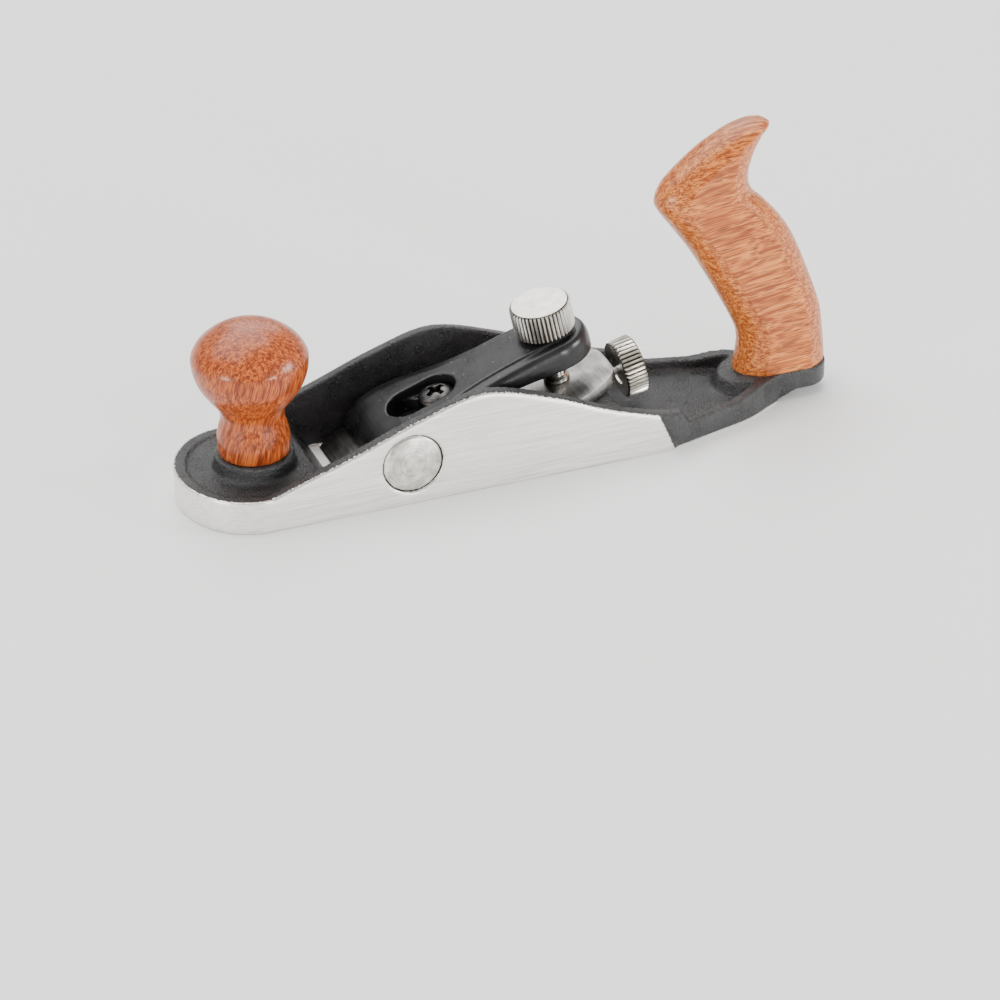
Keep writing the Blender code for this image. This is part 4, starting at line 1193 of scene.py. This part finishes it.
CASTING = painted_casting("enamelled_casting")
CAP_ENAMEL = satin_enamel("cap_enamel")
BLADE_STEEL = ground_steel("blade_steel", (0.13, 0.127, 0.122), (0.36, 0.35, 0.335), (0.26, 0.44),
                           (3800, 160, 900), -TILT[1])
PLUG_STEEL = turned_metal("plug_steel", (0.42, 0.395, 0.36), (0.86, 0.83, 0.78), (0.28, 0.46),
                          PLUG, ACROSS, rings=3200)
SCREW_STEEL = turned_metal("screw_steel", (0.52, 0.51, 0.49), (0.78, 0.77, 0.75), (0.2, 0.36),
                           (KNOB_X, 0, 0), (0, 0, 0))
FOOT_STEEL = turned_metal("foot_steel", (0.60, 0.57, 0.50), (0.86, 0.83, 0.76), (0.14, 0.28),
                          BED @ Vector((CLAMP_S, 0, 0)), TILT)
ROD_STEEL = turned_metal("rod_steel", (0.50, 0.49, 0.47), (0.8, 0.79, 0.77), (0.18, 0.32),
                         ALONG_BED.translation, ALONG_ROD)
SCREW_BLACK = turned_metal("blackened_steel", (0.018, 0.018, 0.019), (0.12, 0.117, 0.113), (0.22, 0.40),
                           BED @ Vector((SCREW_S, 0, 0)), TILT)
CLAMP_NICKEL = turned_metal("clamp_nickel", (0.56, 0.535, 0.49), (0.75, 0.73, 0.685), (0.22, 0.36),
                            BED @ Vector((CLAMP_S, 0, 0)), TILT, rings=2600, root=3.72 * MM)
WHEEL_NICKEL = turned_metal("wheel_nickel", (0.60, 0.57, 0.50), (0.82, 0.79, 0.72), (0.20, 0.34),
                            ALONG_BED.translation, ALONG_ROD, rings=2600, root=3.67 * MM)
BRASS = turned_metal("turned_brass", (0.62, 0.42, 0.15), (0.80, 0.60, 0.27), (0.22, 0.38),
                     BED @ Vector((POST_S, 0, 0)), TILT)
KNOB_WOOD = oiled_wood("knob_wood", (0, math.radians(78), math.radians(12)), (0.013, 0.007, 0.002),
                       ((0.16, 0.024, 0.005), (0.38, 0.070, 0.012), (0.58, 0.145, 0.028)), pore_strength=0.85)
TOTE_WOOD = oiled_wood("tote_wood", (0, math.radians(6), math.radians(5)), (0.031, 0.002, 0.017),
                       ((0.27, 0.056, 0.010), (0.54, 0.146, 0.028), (0.76, 0.262, 0.062)), pore_strength=0.85)

make_casting()
make_plugs()
make_knob()
make_tote()
make_countersunk("knob_fixing", KNOB_X, *KNOB_SCREW, 11.4 * MM, "knob_screw")
make_countersunk("tote_fixing", TOTE_SCREW_X, *TOTE_SCREW, 10.4 * MM, "tote_screw")
make_blade()
make_lever_cap()
make_hold_down_screw()
make_clamp()
make_adjuster()
for node, material in (("knob_insert", BRASS), ("tote_insert", BRASS), ("tote_pin", SCREW_STEEL)):
    for slot in frame["nodes"][node].material_slots:
        slot.material = material


# ---------------------------------------------------------------- floor, light, camera

def make_floor():
    """What the plane stands on."""
    bm = bmesh.new()
    bmesh.ops.create_grid(bm, x_segments=1, y_segments=1, size=3.0)
    mesh = bpy.data.meshes.new("floor")
    bm.to_mesh(mesh)
    bm.free()
    mesh.materials.append(pale_floor("pale_floor"))
    floor = bpy.data.objects.new("floor", mesh)
    bpy.context.scene.collection.objects.link(floor)


def soft_light(name, place, size, power):
    """A rectangular lamp aimed at the middle of the plane."""
    aim = (0, 0, 0.01)
    data = bpy.data.lights.new(name, "AREA")
    data.shape = "RECTANGLE"
    data.size, data.size_y = size
    data.energy = power
    lamp = bpy.data.objects.new(name, data)
    lamp.location = place
    lamp.rotation_euler = (Vector(place) - Vector(aim)).to_track_quat("Z", "Y").to_euler()
    bpy.context.scene.collection.objects.link(lamp)


def make_camera(azimuth, elevation, roll, target, distance, lens):
    """Angles in degrees: round from the left side, up from level, and about the line of sight."""
    around, up, turn = (math.radians(angle) for angle in (azimuth, elevation, roll))
    back = Vector((math.sin(around) * math.cos(up), -math.cos(around) * math.cos(up), math.sin(up)))
    right = Vector((math.cos(around), math.sin(around), 0))
    top = back.cross(right)
    right, top = (math.cos(turn) * right + math.sin(turn) * top,
                  math.cos(turn) * top - math.sin(turn) * right)
    data = bpy.data.cameras.new("camera")
    data.sensor_width = 36
    data.lens = lens
    data.clip_start = 0.01
    camera = bpy.data.objects.new("camera", data)
    camera.matrix_world = Matrix.Translation(Vector(target) + distance * back) @ Matrix(
        (right, top, back)).transposed().to_4x4()
    bpy.context.scene.collection.objects.link(camera)
    bpy.context.scene.camera = camera


def make_sky(colour, strength):
    """Even light from all round."""
    world = bpy.data.worlds.new("studio")
    world.use_nodes = True
    sky = world.node_tree.nodes["Background"]
    sky.inputs["Color"].default_value = (*colour, 1)
    sky.inputs["Strength"].default_value = strength
    bpy.context.scene.world = world


make_floor()
soft_light("softbox_above", (-0.12, 0.30, 0.80), (1.1, 0.9), 12.0)
soft_light("softbox_behind", (0.28, 0.72, 0.46), (0.55, 0.35), 1.5)
soft_light("window_right", (0.50, -0.29, 0.20), (0.20, 0.13), 2.2)
soft_light("window_front", (0.22, -0.55, 0.10), (0.14, 0.09), 1.4)
soft_light("window_left", (-0.56, -0.26, 0.13), (0.18, 0.11), 1.6)
make_sky((1.0, 0.99, 0.97), 0.65)
make_camera(azimuth=-21.16, elevation=30.53, roll=-0.573, target=(-0.00614, -0.01214, -0.00086),
            distance=0.44482, lens=125.86)
